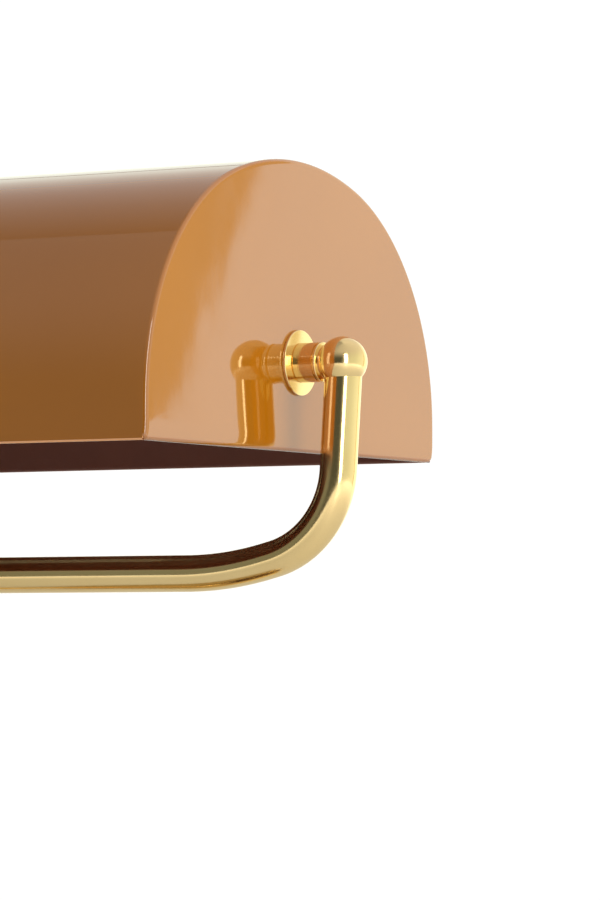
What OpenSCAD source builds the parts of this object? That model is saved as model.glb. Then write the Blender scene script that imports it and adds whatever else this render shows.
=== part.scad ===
// Banker's desk lamp. A half-round enamelled shade tilts between the two arms of a polished
// brass yoke, which stands on a column and a weighted round base.
// Millimetres. +Z is up, +X runs along the shade, the front is -Y, and the origin is the
// middle of the base's underside, on the desk.

/* [Shade] */
// Length of the shade over its two end caps
shade_len = 260; // [220:5:340]
// Depth of the shade from front to back
shade_depth = 156; // [140:2:190]
// Height of the straight skirt along the lower edges
skirt_h = 10; // [4:1:16]
// Outside radius of the curve that rises from each skirt
side_r = 66; // [56:1:69]
// Half of the angle that the flatter crown curve takes up
crown_half_angle = 18; // [12:1:24]
// Thickness of the rolled shell
shell_t = 1; // [0.8:0.1:1.6]
// Thickness of the end caps
cap_t = 1.2; // [1:0.1:2]

/* [Yoke] */
// Height of the tilt axis above the desk
pivot_z = 300; // [270:5:380]
// Height of the tilt axis above the shade's lower edge
pivot_above_edge = 23.7; // [20:0.1:30]
// Drop from the tilt axis to the middle of the yoke's bar
yoke_drop = 55.8; // [50:0.2:75]
// Distance from an end cap's face to the middle of the ball beside it
ball_offset = 13.9; // [12:0.1:17]
// Diameter of the yoke's tube
tube_d = 10; // [8:0.5:11]
// Wall of the yoke's tube
tube_wall = 1; // [0.8:0.1:1.4]
// Angle by which the upright of each arm leans inwards as it goes down
arm_lean = 3.5; // [0:0.5:5]
// Centreline radius of the main bend
bend_r = 26; // [20:1:32]
// Centreline radius of the soft run-out between the bend and the bar
tail_r = 100; // [60:5:130]
// Angle taken up by the soft run-out
tail_turn = 14.5; // [5:0.5:18]

/* [Pivot fittings] */
// Diameter of the balls at the tops of the arms
ball_d = 12.4; // [12.2:0.1:16]
// Diameter of the turned sleeves beside the balls
sleeve_d = 10.6; // [9.6:0.1:11.4]
// Height of the raised ring round a sleeve
sleeve_ring_h = 0.3; // [0.1:0.1:0.6]
// Diameter of the flat washers against the end caps
washer_d = 17.6; // [14:0.2:22]
// Thickness of the flat washers against the end caps
washer_t = 0.9; // [0.6:0.1:1.5]
// Outside diameter of the hollow pivot nipples
nipple_d = 6; // [5:0.5:7]
// Bore of the hollow pivot nipples
nipple_bore = 3.6; // [3:0.2:4]
// Outside diameter of the flanged bushes in the end caps
bush_d = 9; // [8.5:0.1:10]
// Diameter of the bush flanges
bush_flange_d = 15; // [13:0.5:18]
// Thickness of the bush flanges
bush_flange_t = 1; // [0.8:0.1:1.5]
// Diameter of the washers and disc springs inside the shade
inner_washer_d = 13; // [12:0.5:15]
// Thickness of the washers inside the shade
inner_washer_t = 0.8; // [0.5:0.1:1.2]
// Thickness of the metal of the disc springs
disc_spring_t = 0.5; // [0.4:0.1:0.8]
// Height of the cone of the disc springs, above the metal
disc_spring_cone = 0.5; // [0.3:0.1:0.8]
// Width across the flats of the pivot nuts
pivot_nut_af = 10; // [9:0.5:12]
// Thickness of the pivot nuts
pivot_nut_t = 3; // [2.5:0.5:4]

/* [Column and hub] */
// Outside diameter of the hollow threaded rod up the column
rod_d = 10; // [9:0.5:11]
// Bore of the hollow threaded rod
rod_bore = 7; // [6:0.5:7]
// Outside diameter of the column tube
column_d = 16; // [15:0.5:20]
// Wall of the column tube
column_wall = 1.2; // [1:0.1:2]
// Depth of the sockets that hold the column tube's ends
column_socket = 6; // [4:1:8]
// Height of the turned foot of the column
column_foot_h = 18; // [14:1:24]
// Height of the turned neck under the hub
column_neck_h = 12; // [10:1:18]
// Diameter of the round middle of the hub
hub_ball_d = 28; // [27:1:34]
// Diameter of the hub's arms and of its stub
hub_d = 18; // [16:1:19]
// Length of the hub over its two arms
hub_len = 40; // [36:2:48]
// Diameter of the hub's two set screws
set_screw_d = 4; // [3:0.5:5]

/* [Base] */
// Diameter of the base
base_d = 190; // [170:5:220]
// Height of the base's outer step
foot_h = 16; // [15:1:20]
// Diameter of the base's middle step
step_d = 164; // [140:2:166]
// Rise of the middle step above the outer step
step_rise = 7; // [6:1:12]
// Diameter of the boss under the column
boss_d = 52; // [48:2:64]
// Rise of the boss above the middle step
boss_rise = 5; // [4:1:10]
// Radius of the rounded edges of the steps
step_round = 3; // [2.5:0.5:4]
// Thickness of the spun cover
cover_t = 1.2; // [1:0.1:2]
// Room between the cast weight and the cover
weight_gap = 0.5; // [0.3:0.1:1]
// Thickness of the felt pad
felt_t = 2; // [1.5:0.5:3]
// Thickness of the bottom plate
plate_t = 1.5; // [1:0.5:2.5]
// Diameter of the circle of plate screws
plate_screw_circle = 130; // [110:5:150]
// Diameter of the plate screws
plate_screw_d = 4; // [3:0.5:5]
// Bore of the cord inlet
inlet_bore = 6.4; // [5:0.2:7]
// Wall of the cord inlet's bush
inlet_wall = 1; // [0.8:0.1:1.4]

/* [Switch] */
// Distance of the push button in front of the column's axis
button_y = 54; // [44:1:64]
// Diameter of the push button
button_d = 11; // [9:0.5:13]
// Travel of the push button
button_travel = 3; // [2:0.5:4]
// Height of the push button above its bezel
button_proud = 4; // [4:0.5:7]
// Wall of the bezel's threaded neck
bezel_wall = 1.5; // [1:0.1:2]
// Width of the bezel's flange beyond its neck
bezel_lip = 3; // [2:0.5:4]
// Wall of the switch case
case_wall = 2.6; // [2:0.2:4]
// Wire diameter of the button's return spring
spring_wire = 0.8; // [0.6:0.1:1]
// Number of turns in the button's return spring
spring_turns = 6; // [4:1:8]

/* [Lampholder and bulb] */
// Distance from the left end cap's face to the holder's bracket plate
bracket_reach = 26; // [24:1:34]
// Thickness of the bracket's steel
bracket_t = 1.6; // [1.2:0.2:2.4]
// Width of the bracket
bracket_w = 28; // [22:1:34]
// Height of the bracket's shelf above the tilt axis
bracket_rise = 22; // [20:1:28]
// Diameter of the lampholder
holder_d = 38; // [36:1:42]
// Length of the lampholder's straight body
holder_len = 36; // [34:1:42]
// Outside diameter of the bulb's screw cap
bulb_cap_d = 26.6; // [26:0.2:27]
// Diameter of the bulb's glass tube
bulb_d = 30; // [27:1:32]
// Length of the bulb's glass beyond its cap
bulb_len = 128; // [100:2:140]
// Thickness of the bulb's glass
glass_t = 0.8; // [0.6:0.1:1.2]
// Outside diameter of the internal supply lead
lead_d = 2.4; // [2:0.1:2.8]

/* [Fits] */
// Radial clearance of a piece that turns or slides in another
running_gap = 0.05; // [0.02:0.01:0.1]
// Radial clearance of a piece that is fixed inside another
seat_gap = 0.1; // [0.05:0.05:0.2]

/* [Hidden] */

$fn = 96;
eps = 0.01;

brass = [0.86, 0.69, 0.38];
enamel = [0.72, 0.45, 0.22];
steel = [0.72, 0.73, 0.75];
iron = [0.25, 0.25, 0.27];
bakelite = [0.09, 0.07, 0.06];
felt_brown = [0.28, 0.17, 0.1];
copper = [0.75, 0.42, 0.25];
clear_glass = [0.85, 0.9, 0.95, 0.4];

// Shade outline: two side curves, tangent to a flatter crown.
edge_z = pivot_z - pivot_above_edge;
side_y = shade_depth / 2 - side_r;
join_angle = 90 - crown_half_angle;
crown_r = side_r + side_y / sin(crown_half_angle);
crown_z = skirt_h - side_y / tan(crown_half_angle);
cap_out = shade_len / 2;
cap_in = cap_out - cap_t;

// Pivot stack, from the ball inwards.
ball_x = cap_out + ball_offset;
ball_r = ball_d / 2;
washer_out = cap_out + washer_t;
flange_in = cap_in - bush_flange_t;
inner_washer_in = flange_in - inner_washer_t;
disc_spring_in = inner_washer_in - disc_spring_t - disc_spring_cone;
pivot_nut_in = disc_spring_in - pivot_nut_t;
nipple_spare = 1.8;
nipple_in = pivot_nut_in - nipple_spare;
nipple_stop = 2.4;
nipple_out = ball_x - nipple_stop;
nipple_r = nipple_d / 2;

// Yoke centreline, in the XZ plane, from the bar out to the ball.
bar_z = pivot_z - yoke_drop;
tube_r = tube_d / 2;
bend_end = 90 - arm_lean;
link_len = 2;
lap = 0.4;
lap_step = 0.02;
tail_rise = tail_r * (1 - cos(tail_turn));
link_rise = link_len * sin(tail_turn);
bend_rise = bend_r * (cos(tail_turn) - cos(bend_end));
upright_len = (yoke_drop - tail_rise - link_rise - bend_rise) / sin(bend_end);
bend_x = ball_x - upright_len * cos(bend_end) - bend_r * sin(bend_end);
bend_z = bar_z + tail_rise + link_rise + bend_r * cos(tail_turn);
link_x = bend_x + bend_r * sin(tail_turn) - link_len * cos(tail_turn);
link_z = bar_z + tail_rise;
tail_x = link_x - tail_r * sin(tail_turn);
neck_drop = sqrt(ball_r * ball_r - tube_r * tube_r);
spigot_len = 5;
arm_start = 6;
cup_gap = 0.03;

// Column.
rod_r = rod_d / 2;
step_h = foot_h + step_rise;
boss_h = step_h + boss_rise;
hub_stub = 16;
hub_bottom = bar_z - hub_stub;
neck_bottom = hub_bottom - column_neck_h;
foot_top = boss_h + column_foot_h;
column_low = foot_top - column_socket;
column_high = neck_bottom + column_socket;
rod_top = bar_z - tube_r - 1.8;
rod_bottom = 8;
rod_washer_t = 0.8;
rod_nut_t = 4;
rod_nut_af = 17;

// Base.
plate_top = felt_t + plate_t;
weight_inset = cover_t + weight_gap;
plate_screw_len = 8.2;
slot_w = 0.7;
rod_room = 0.3;
case_room = 0.6;
well_d = 46;
well_top = 14;
tray_w = 24;
tray_top = 14.5;
lead_slot_w = 10;
lead_slot_top = 11;
inlet_z = 8;
inlet_r = inlet_bore / 2 + inlet_wall;
inlet_flange_r = inlet_r + 1.4;
inlet_flange_t = 1.5;
inlet_reach = 9;
inlet_nut_t = 3;
inlet_nut_af = 11;
inlet_nut_gap = 0.3;
wall_bow = inlet_flange_r * inlet_flange_r / base_d;
inlet_nut_y = base_d / 2 - cover_t - wall_bow - inlet_nut_t - inlet_nut_gap;
inlet_notch_w = inlet_nut_af / cos(30) + 1;
block_size = [20, 14, 8];
block_y = 44;
block_hole_pitch = 9;
block_wire_r = 1.3;
terminal_screw_r = 1.6;
terminal_screw_len = 5;

// Switch, measured up from the desk.
button_foot_z = 12.6;
case_floor_z = button_foot_z - button_travel - 0.6;
case_bottom = case_floor_z - 4;
case_top = step_h - cover_t - 0.1;
neck_z = 14;
bezel_bore_r = button_d / 2 + running_gap;
bezel_neck_r = bezel_bore_r + bezel_wall;
bezel_flange_r = bezel_neck_r + bezel_lip;
bezel_t = 1.6;
case_bore_r = bezel_neck_r + seat_gap;
case_r = case_bore_r + case_wall;
button_top = step_h + bezel_t + button_proud;
button_foot_r = case_bore_r - 0.4;
button_cave_top = button_top - 3;
spring_r = button_d / 2 - 2.4;
button_cave_r = spring_r + spring_wire / 2 + 0.4;

// Lampholder and bulb, measured along the tilt axis from the bracket plate's inner face.
holder_x = -cap_out + bracket_reach;
holder_nipple_r = 5;
holder_nipple_bore = 3.4;
rivet_rise = 12;
rivet_r = 1.6;
rivet_head = 1.2;
dome_len = 12;
dome_neck_r = 11;
dome_neck_len = 4;
dome_t = 1.5;
body_x = holder_x + dome_len;
body_wall = 3.4;
body_floor = 4;
thread_t = 0.5;
thread_len = 24;
bulb_cap_r = bulb_cap_d / 2;
thread_bore_r = bulb_cap_r + seat_gap;
contact_h = 3;
tip_x = body_x + body_floor + contact_h;
bulb_cap_x = tip_x + 4;
bulb_cap_len = 24;
glass_x = bulb_cap_x + bulb_cap_len - 3;
glass_neck_r = bulb_cap_r - 1.4;
shoulder_len = 14;
glass_r = bulb_d / 2;
mount_len = 26;
filament_gap = 12;

// ---------- shared shapes ----------

// Lays a cylinder of radius r along +X from x0 to x1 on the tilt axis.
module axle(x0, x1, r, z = pivot_z) {
    translate([x0, 0, z]) rotate([0, 90, 0]) cylinder(h = x1 - x0, r = r);
}

// Lays a ring along +X.
module collar(x0, x1, r, bore_r, z = pivot_z) {
    difference() {
        axle(x0, x1, r, z);
        axle(x0 - 1, x1 + 1, bore_r, z);
    }
}

// A hexagonal nut standing on z = 0.
module hex_nut(af, t, bore_r) {
    difference() {
        cylinder(h = t, r = af / sqrt(3), $fn = 6);
        translate([0, 0, -1]) cylinder(h = t + 2, r = bore_r);
    }
}

module tube(h, r, bore_r) {
    difference() {
        cylinder(h = h, r = r);
        translate([0, 0, -1]) cylinder(h = h + 2, r = bore_r);
    }
}

// Repeats its children at the right end and mirrored at the left end.
module both_ends() {
    children();
    mirror([1, 0, 0]) children();
}

// Points round an arc, from angle a0 to angle a1, one for about every 3 degrees.
function arc_points(centre, r, a0, a1) =
    let (n = ceil(abs(a1 - a0) / 3))
    [for (i = [0:n]) let (a = a0 + (a1 - a0) * i / n) centre + r * [cos(a), sin(a)]];

// Outline of the shade from the front skirt over the crown to the back skirt, moved inwards
// by inset: straight skirts, side curves and a crown that is tangent to them.
function section_points(inset = 0) = concat(
    [[side_y + side_r - inset, 0]],
    arc_points([side_y, skirt_h], side_r - inset, 0, join_angle),
    [for (i = [1:len(crown_arc(inset)) - 2]) crown_arc(inset)[i]],
    arc_points([-side_y, skirt_h], side_r - inset, 180 - join_angle, 180),
    [[-side_y - side_r + inset, 0]]
);

function crown_arc(inset) =
    arc_points([0, crown_z], crown_r - inset, join_angle, 180 - join_angle);

function reversed(list) = [for (i = [len(list) - 1:-1:0]) list[i]];

// Stands a flat shape across the lamp from x0, with thickness t.
module across(x0, t) {
    translate([x0, 0, edge_z]) rotate([90, 0, 90]) linear_extrude(t) children();
}

// One turned step of the base, with a rounded upper edge, from z0 up to top.
module turned_step(r, z0, top, round) {
    translate([0, z0]) square([r - round, top - z0]);
    translate([r - round, z0]) square([round, top - round - z0]);
    translate([r - round, top - round]) intersection() {
        circle(round);
        square(round);
    }
}

// The stepped form of the base, moved inwards by inset, from z0 upwards.
module base_form(inset, z0, boss_inset) {
    rotate_extrude() {
        turned_step(base_d / 2 - inset, z0, foot_h - inset, step_round - inset);
        translate([0, foot_h - inset])
            turned_step(step_d / 2 - inset, 0, step_rise, step_round - inset);
        translate([0, step_h - inset]) square([boss_d / 2 - inset, boss_rise + inset - boss_inset]);
    }
}

// A solid rod along the yoke's right arm: bar, run-out, short link, bend and upright. The bent
// lengths are a hair thicker, so that the straight ones end inside them.
module arm_run(x0, r, upright) {
    bar_len = tail_x - x0;
    translate([x0, 0, bar_z]) rotate([0, 90, 0]) cylinder(h = bar_len + lap, r = r);
    translate([tail_x, 0, bar_z + tail_r]) rotate([90, 0, 0]) rotate(-90)
        rotate_extrude(angle = tail_turn) translate([tail_r, 0]) circle(r + lap_step);
    translate([link_x, 0, link_z]) rotate([0, 90 - tail_turn, 0])
        translate([0, 0, -lap]) cylinder(h = link_len + 2 * lap, r = r);
    translate([bend_x, 0, bend_z]) rotate([90, 0, 0]) rotate(tail_turn - 90)
        rotate_extrude(angle = bend_end - tail_turn) translate([bend_r, 0]) circle(r + lap_step);
    at_ball() translate([0, 0, -upright_len - lap]) cylinder(h = upright + lap, r = r);
}

// Moves children to the middle of the right ball, with Z along the arm's upright.
module at_ball() {
    translate([ball_x, 0, pivot_z]) rotate([0, arm_lean, 0]) children();
}

// The bore that fits tightly round a pivot nipple, from x0 to x1.
module nipple_seat(x0, x1) {
    axle(x0, x1, nipple_r + seat_gap / 2);
}

// ---------- base ----------

module felt_pad() {
    color(felt_brown) cylinder(h = felt_t, r = base_d / 2 - 1);
}

module at_plate_screws() {
    for (a = [15, 135, 255]) rotate(a) translate([plate_screw_circle / 2, 0, felt_t]) children();
}

module base_plate() {
    color(steel) difference() {
        translate([0, 0, felt_t]) cylinder(h = plate_t, r = base_d / 2 - weight_inset);
        at_plate_screws() translate([0, 0, -1])
            cylinder(h = plate_t + 2, r = plate_screw_d / 2 + seat_gap);
        at_plate_screws() translate([0, 0, -eps])
            cylinder(h = plate_t - 0.3, r1 = plate_screw_d, r2 = plate_screw_d / 2 + seat_gap);
        translate([-inlet_notch_w / 2, inlet_nut_y - 0.5, 0]) cube([inlet_notch_w, base_d, plate_top + 1]);
    }
}

module plate_screws() {
    head_h = plate_t - 0.4;
    color(steel) at_plate_screws() difference() {
        union() {
            cylinder(h = head_h, r1 = plate_screw_d - 0.1, r2 = plate_screw_d / 2);
            translate([0, 0, head_h]) cylinder(h = plate_screw_len - 0.2, r = plate_screw_d / 2);
        }
        translate([-plate_screw_d, -slot_w / 2, -eps]) cube([2 * plate_screw_d, slot_w, 0.6]);
    }
}

module base_weight() {
    color(iron) difference() {
        base_form(weight_inset, plate_top, cover_t);
        cylinder(h = boss_h, r = rod_r + rod_room);
        cylinder(h = well_top, d = well_d);
        translate([-tray_w / 2, 0, 0]) cube([tray_w, base_d / 2, tray_top]);
        translate([-lead_slot_w / 2, -button_y, 0]) cube([lead_slot_w, button_y, lead_slot_top]);
        translate([0, -button_y, 0]) cylinder(h = step_h, r = case_r + case_room);
        at_plate_screws() cylinder(h = plate_screw_len + plate_t, r = plate_screw_d / 2 + seat_gap);
    }
}

module base_cover() {
    color(brass) difference() {
        base_form(0, felt_t, 0);
        difference() {
            base_form(cover_t, felt_t - 1, cover_t);
            cylinder(h = felt_t - 1, r = base_d);
        }
        cylinder(h = boss_h + 1, r = rod_r + seat_gap);
        translate([0, -button_y, foot_h]) cylinder(h = 2 * step_rise, r = bezel_neck_r + seat_gap);
        translate([0, base_d / 2 - 10, inlet_z]) rotate([-90, 0, 0])
            cylinder(h = 20, r = inlet_r + seat_gap);
    }
}

module at_inlet(y) {
    translate([0, y, inlet_z]) rotate([-90, 0, 0]) children();
}

module cord_inlet() {
    color(bakelite) difference() {
        union() {
            at_inlet(base_d / 2 - inlet_reach) cylinder(h = inlet_reach + eps, r = inlet_r);
            at_inlet(base_d / 2) cylinder(h = inlet_flange_t, r = inlet_flange_r);
        }
        at_inlet(base_d / 2 - inlet_reach - 1)
            cylinder(h = inlet_reach + inlet_flange_t + 2, r = inlet_bore / 2);
    }
}

module inlet_nut() {
    color(steel) at_inlet(inlet_nut_y) hex_nut(inlet_nut_af, inlet_nut_t, inlet_r + seat_gap / 2);
}

module at_terminals() {
    for (sx = [-1, 1], sy = [-1, 1])
        translate([sx * block_hole_pitch / 2, block_y + sy * 4, tray_top - block_size.z])
            children();
}

module terminal_block() {
    color(bakelite) difference() {
        translate([-block_size.x / 2, block_y - block_size.y / 2, tray_top - block_size.z])
            cube(block_size);
        at_terminals() translate([0, 0, -1])
            cylinder(h = terminal_screw_len + 1.2, r = terminal_screw_r + seat_gap / 2);
        for (sx = [-1, 1])
            translate([sx * block_hole_pitch / 2, block_y - block_size.y, tray_top - 1.9])
                rotate([-90, 0, 0]) cylinder(h = 2 * block_size.y, r = block_wire_r);
    }
}

module terminal_screws() {
    color(brass) at_terminals() difference() {
        translate([0, 0, -0.4]) cylinder(h = terminal_screw_len, r = terminal_screw_r);
        translate([-2, -slot_w / 2, -1]) cube([4, slot_w, 1.4]);
    }
}

// ---------- switch ----------

module at_switch(z) {
    translate([0, -button_y, z]) children();
}

module switch_case() {
    color(bakelite) difference() {
        at_switch(case_bottom) cylinder(h = case_top - case_bottom, r = case_r);
        at_switch(case_floor_z) cylinder(h = case_top, r = case_bore_r);
        at_switch(case_floor_z - 1.5) cylinder(h = 2, r = 1.2);
    }
}

module switch_bezel() {
    color(brass) difference() {
        union() {
            at_switch(neck_z) cylinder(h = step_h - neck_z + eps, r = bezel_neck_r);
            at_switch(step_h) cylinder(h = bezel_t * 0.6, r = bezel_flange_r);
            at_switch(step_h + bezel_t * 0.6)
                cylinder(h = bezel_t * 0.4, r1 = bezel_flange_r, r2 = bezel_flange_r - bezel_t * 0.6);
        }
        at_switch(neck_z - 1) cylinder(h = step_h, r = bezel_bore_r);
    }
}

module push_button() {
    edge = 1;
    color(brass) difference() {
        union() {
            at_switch(neck_z) cylinder(h = button_top - edge - neck_z, r = button_d / 2);
            at_switch(button_top - edge) cylinder(h = edge, r1 = button_d / 2, r2 = button_d / 2 - edge);
            at_switch(button_foot_z) cylinder(h = neck_z - button_foot_z, r = button_foot_r);
        }
        at_switch(button_foot_z - 1)
            cylinder(h = button_cave_top - button_foot_z + 1, r = button_cave_r);
    }
}

// Point k of n round the spring's wire at station j of m along the helix.
function coil_point(j, m, k, n, height) =
    let (
        turn = 360 * spring_turns * j / m,
        w = 360 * k / n,
        r = spring_r + spring_wire / 2 * cos(w)
    ) [r * cos(turn), r * sin(turn),
        spring_wire / 2 + (height - spring_wire) * j / m + spring_wire / 2 * sin(w)];

module button_spring() {
    around = 6;
    stations = 16 * spring_turns;
    height = button_cave_top - case_floor_z;
    points = [for (j = [0:stations], k = [0:around - 1]) coil_point(j, stations, k, around, height)];
    sides = [for (j = [0:stations - 1], k = [0:around - 1])
        let (a = j * around + k, b = j * around + (k + 1) % around)
        [a, b, b + around, a + around]];
    start_face = [for (k = [around - 1:-1:0]) k];
    end_face = [for (k = [0:around - 1]) stations * around + k];
    color(steel) at_switch(case_floor_z)
        polyhedron(points, concat(sides, [start_face], [end_face]), convexity = 10);
}

// ---------- column and hub ----------

module column_foot() {
    low = 3;
    neck_r = column_d / 2 + 2.2;
    flare = column_foot_h - low - 6;
    color(brass) difference() {
        translate([0, 0, boss_h]) union() {
            cylinder(h = low, r = boss_d / 2 - 5);
            translate([0, 0, low]) cylinder(h = flare, r1 = boss_d / 2 - 8, r2 = neck_r);
            translate([0, 0, low + flare]) cylinder(h = 3, r = neck_r);
            translate([0, 0, low + flare + 3]) cylinder(h = 3, r = neck_r + 1.5);
        }
        translate([0, 0, column_low]) cylinder(h = column_foot_h, r = column_d / 2 + seat_gap);
        translate([0, 0, boss_h - 1]) cylinder(h = column_foot_h, r = rod_r + seat_gap);
    }
}

module column_tube() {
    color(brass) translate([0, 0, column_low])
        tube(column_high - column_low, column_d / 2, column_d / 2 - column_wall);
}

module column_neck() {
    color(brass) difference() {
        translate([0, 0, neck_bottom]) union() {
            cylinder(h = 3, r = column_d / 2 + 3.5);
            translate([0, 0, 3]) cylinder(h = column_neck_h - 3, r1 = column_d / 2 + 2.2, r2 = hub_d / 2);
        }
        translate([0, 0, neck_bottom - 1]) cylinder(h = column_socket + 1, r = column_d / 2 + seat_gap);
        translate([0, 0, neck_bottom]) cylinder(h = column_neck_h + 1, r = rod_r + seat_gap);
    }
}

module threaded_rod() {
    color(steel) translate([0, 0, rod_bottom]) tube(rod_top - rod_bottom, rod_r, rod_bore / 2);
}

module rod_washer() {
    color(steel) translate([0, 0, well_top - rod_washer_t]) tube(rod_washer_t, 12, rod_r + seat_gap);
}

module rod_nut() {
    color(steel) translate([0, 0, well_top - rod_washer_t - rod_nut_t])
        hex_nut(rod_nut_af, rod_nut_t, rod_r + seat_gap / 2);
}

module at_set_screws() {
    for (side = [-1, 1]) translate([side * (hub_len / 2 - 4), 0, bar_z - hub_d / 2]) children();
}

module yoke_hub() {
    color(brass) difference() {
        union() {
            translate([0, 0, bar_z]) sphere(d = hub_ball_d);
            axle(-hub_len / 2, hub_len / 2, hub_d / 2, bar_z);
            translate([0, 0, hub_bottom]) cylinder(h = hub_stub, r = hub_d / 2);
        }
        axle(-hub_len, hub_len, tube_r + seat_gap / 2, bar_z);
        translate([0, 0, hub_bottom - 1])
            cylinder(h = rod_top - hub_bottom + 1.2, r = rod_r + seat_gap / 2);
        translate([0, 0, hub_bottom]) cylinder(h = hub_stub, r = rod_bore / 2);
        at_set_screws() translate([0, 0, -1]) cylinder(h = hub_d / 2, d = set_screw_d + seat_gap);
    }
}

module hub_set_screws() {
    length = hub_d / 2 - tube_r - seat_gap;
    color(steel) at_set_screws() difference() {
        translate([0, 0, 0.1]) cylinder(h = length, d = set_screw_d);
        translate([-set_screw_d, -slot_w / 2, -1]) cube([2 * set_screw_d, slot_w, 2]);
    }
}

// ---------- yoke ----------

module arm_right() {
    difference() {
        arm_run(arm_start, tube_r, upright_len - neck_drop);
        arm_run(arm_start - 1, tube_r - tube_wall, upright_len);
    }
}

module yoke_arm_right() {
    color(brass) arm_right();
}

module yoke_arm_left() {
    color(brass) mirror([1, 0, 0]) arm_right();
}

module ball_right() {
    difference() {
        union() {
            at_ball() difference() {
                sphere(r = ball_r);
                translate([0, 0, -neck_drop - ball_r]) cylinder(h = ball_r, r = ball_d);
            }
            at_ball() translate([0, 0, -neck_drop - spigot_len])
                cylinder(h = spigot_len + 0.5, r = tube_r - tube_wall - seat_gap / 2);
        }
        at_ball() translate([0, 0, -2 * ball_d]) cylinder(h = 2 * ball_d, r = nipple_bore / 2);
        axle(ball_x - ball_d, ball_x, nipple_bore / 2 - 0.2);
        at_ball() sphere(d = nipple_bore);
        nipple_seat(ball_x - ball_d, nipple_out);
    }
}

module yoke_ball_right() {
    color(brass) ball_right();
}

module yoke_ball_left() {
    color(brass) mirror([1, 0, 0]) ball_right();
}

// A turned sleeve: plain barrel, raised ring between two fine grooves, then a short neck
// that is cupped to fit the ball and the top of the arm.
module sleeve_right() {
    r = sleeve_d / 2;
    ring_x = washer_out + 6.1;
    ring_w = 0.8;
    neck_r = r - 0.45;
    difference() {
        union() {
            axle(washer_out, ring_x - 0.25, r);
            axle(washer_out, ball_x - 2, neck_r);
            axle(ring_x, ring_x + ring_w, r + sleeve_ring_h);
        }
        translate([ball_x, 0, pivot_z]) sphere(r = ball_r + cup_gap);
        at_ball() translate([0, 0, -neck_drop - ball_r])
            cylinder(h = ball_r + cup_gap, r = tube_r + cup_gap);
        nipple_seat(cap_out, ball_x);
    }
}

module pivot_sleeve_right() {
    color(brass) sleeve_right();
}

module pivot_sleeve_left() {
    color(brass) mirror([1, 0, 0]) sleeve_right();
}

module pivot_nipple_right() {
    color(brass) collar(nipple_in, nipple_out, nipple_r, nipple_bore / 2);
}

module pivot_nipple_left() {
    color(brass) mirror([1, 0, 0]) collar(nipple_in, nipple_out, nipple_r, nipple_bore / 2);
}

module outer_washers() {
    color(brass) both_ends()
        collar(cap_out, washer_out, washer_d / 2, nipple_r + seat_gap / 2);
}

module inner_washers() {
    color(brass) both_ends()
        collar(inner_washer_in, flange_in, inner_washer_d / 2, nipple_r + seat_gap / 2);
}

module disc_springs() {
    inner_r = nipple_r + 0.2;
    outer_r = inner_washer_d / 2 - 0.3;
    color(steel) both_ends() translate([disc_spring_in, 0, pivot_z]) rotate([0, 90, 0])
        rotate_extrude() polygon([
            [inner_r, 0], [outer_r, disc_spring_cone],
            [outer_r, disc_spring_cone + disc_spring_t], [inner_r, disc_spring_t]
        ]);
}

module pivot_nuts() {
    color(brass) both_ends() translate([pivot_nut_in, 0, pivot_z]) rotate([0, 90, 0])
        hex_nut(pivot_nut_af, pivot_nut_t, nipple_r + seat_gap / 2);
}

// The lead inside the stand: from the terminal block to the rod, up the column, along the
// left arm and out through the left pivot.
module supply_lead() {
    r = lead_d / 2;
    turn_r = 4;
    run_z = 6.2;
    run_y = block_y - block_size.y / 2 - 1;
    color(bakelite) {
        translate([0, turn_r, run_z]) rotate([-90, 0, 0]) cylinder(h = run_y - turn_r, r = r);
        translate([0, turn_r, run_z + turn_r]) rotate([90, 0, -90]) rotate([0, 0, -90])
            rotate_extrude(angle = 90) translate([turn_r, 0]) circle(r);
        translate([0, 0, run_z + turn_r])
            cylinder(h = bar_z - 2 * turn_r - run_z, r = r);
        mirror([1, 0, 0]) {
            translate([turn_r, 0, bar_z - turn_r]) rotate([90, 0, 0]) rotate([0, 0, 90])
                rotate_extrude(angle = 90) translate([turn_r, 0]) circle(r);
            arm_run(turn_r, r, upright_len);
            translate([ball_x, 0, pivot_z]) sphere(r = r);
            axle(nipple_in + 0.5, ball_x, r);
        }
    }
}

// ---------- shade ----------

module shade_shell() {
    color(enamel) across(-cap_in, 2 * cap_in)
        polygon(concat(section_points(), reversed(section_points(shell_t))));
}

module cap_right() {
    difference() {
        across(cap_in, cap_t) polygon(section_points());
        axle(cap_in - 1, cap_out + 1, bush_d / 2 + seat_gap / 2);
    }
}

module end_cap_right() {
    color(enamel) cap_right();
}

module at_rivets() {
    for (side = [-1, 1])
        translate([-cap_out, side * bracket_w / 4, pivot_z + bracket_rise + rivet_rise])
            rotate([0, 90, 0]) children();
}

module end_cap_left() {
    color(enamel) difference() {
        mirror([1, 0, 0]) cap_right();
        at_rivets() translate([0, 0, -1]) cylinder(h = cap_t + 2, r = rivet_r + seat_gap / 2);
    }
}

module pivot_bushes() {
    color(brass) both_ends() difference() {
        union() {
            axle(cap_in, cap_out, bush_d / 2);
            axle(flange_in, cap_in, bush_flange_d / 2);
        }
        axle(flange_in - 1, cap_out + 1, nipple_r + running_gap);
    }
}

module holder_bracket() {
    half = bracket_w / 2;
    shelf_z = pivot_z + bracket_rise;
    tab_h = rivet_rise + 10;
    drop = bracket_rise + 12;
    color(steel) difference() {
        union() {
            translate([-cap_in, -half, shelf_z]) cube([bracket_t, bracket_w, tab_h]);
            translate([-cap_in, -half, shelf_z])
                cube([holder_x + cap_in, bracket_w, bracket_t]);
            translate([holder_x - bracket_t, -half, shelf_z - drop])
                cube([bracket_t, bracket_w, drop + bracket_t]);
        }
        axle(holder_x - 5, holder_x + 5, holder_nipple_r + seat_gap / 2);
        at_rivets() cylinder(h = cap_t + bracket_t + 1, r = rivet_r + seat_gap / 2);
    }
}

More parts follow.
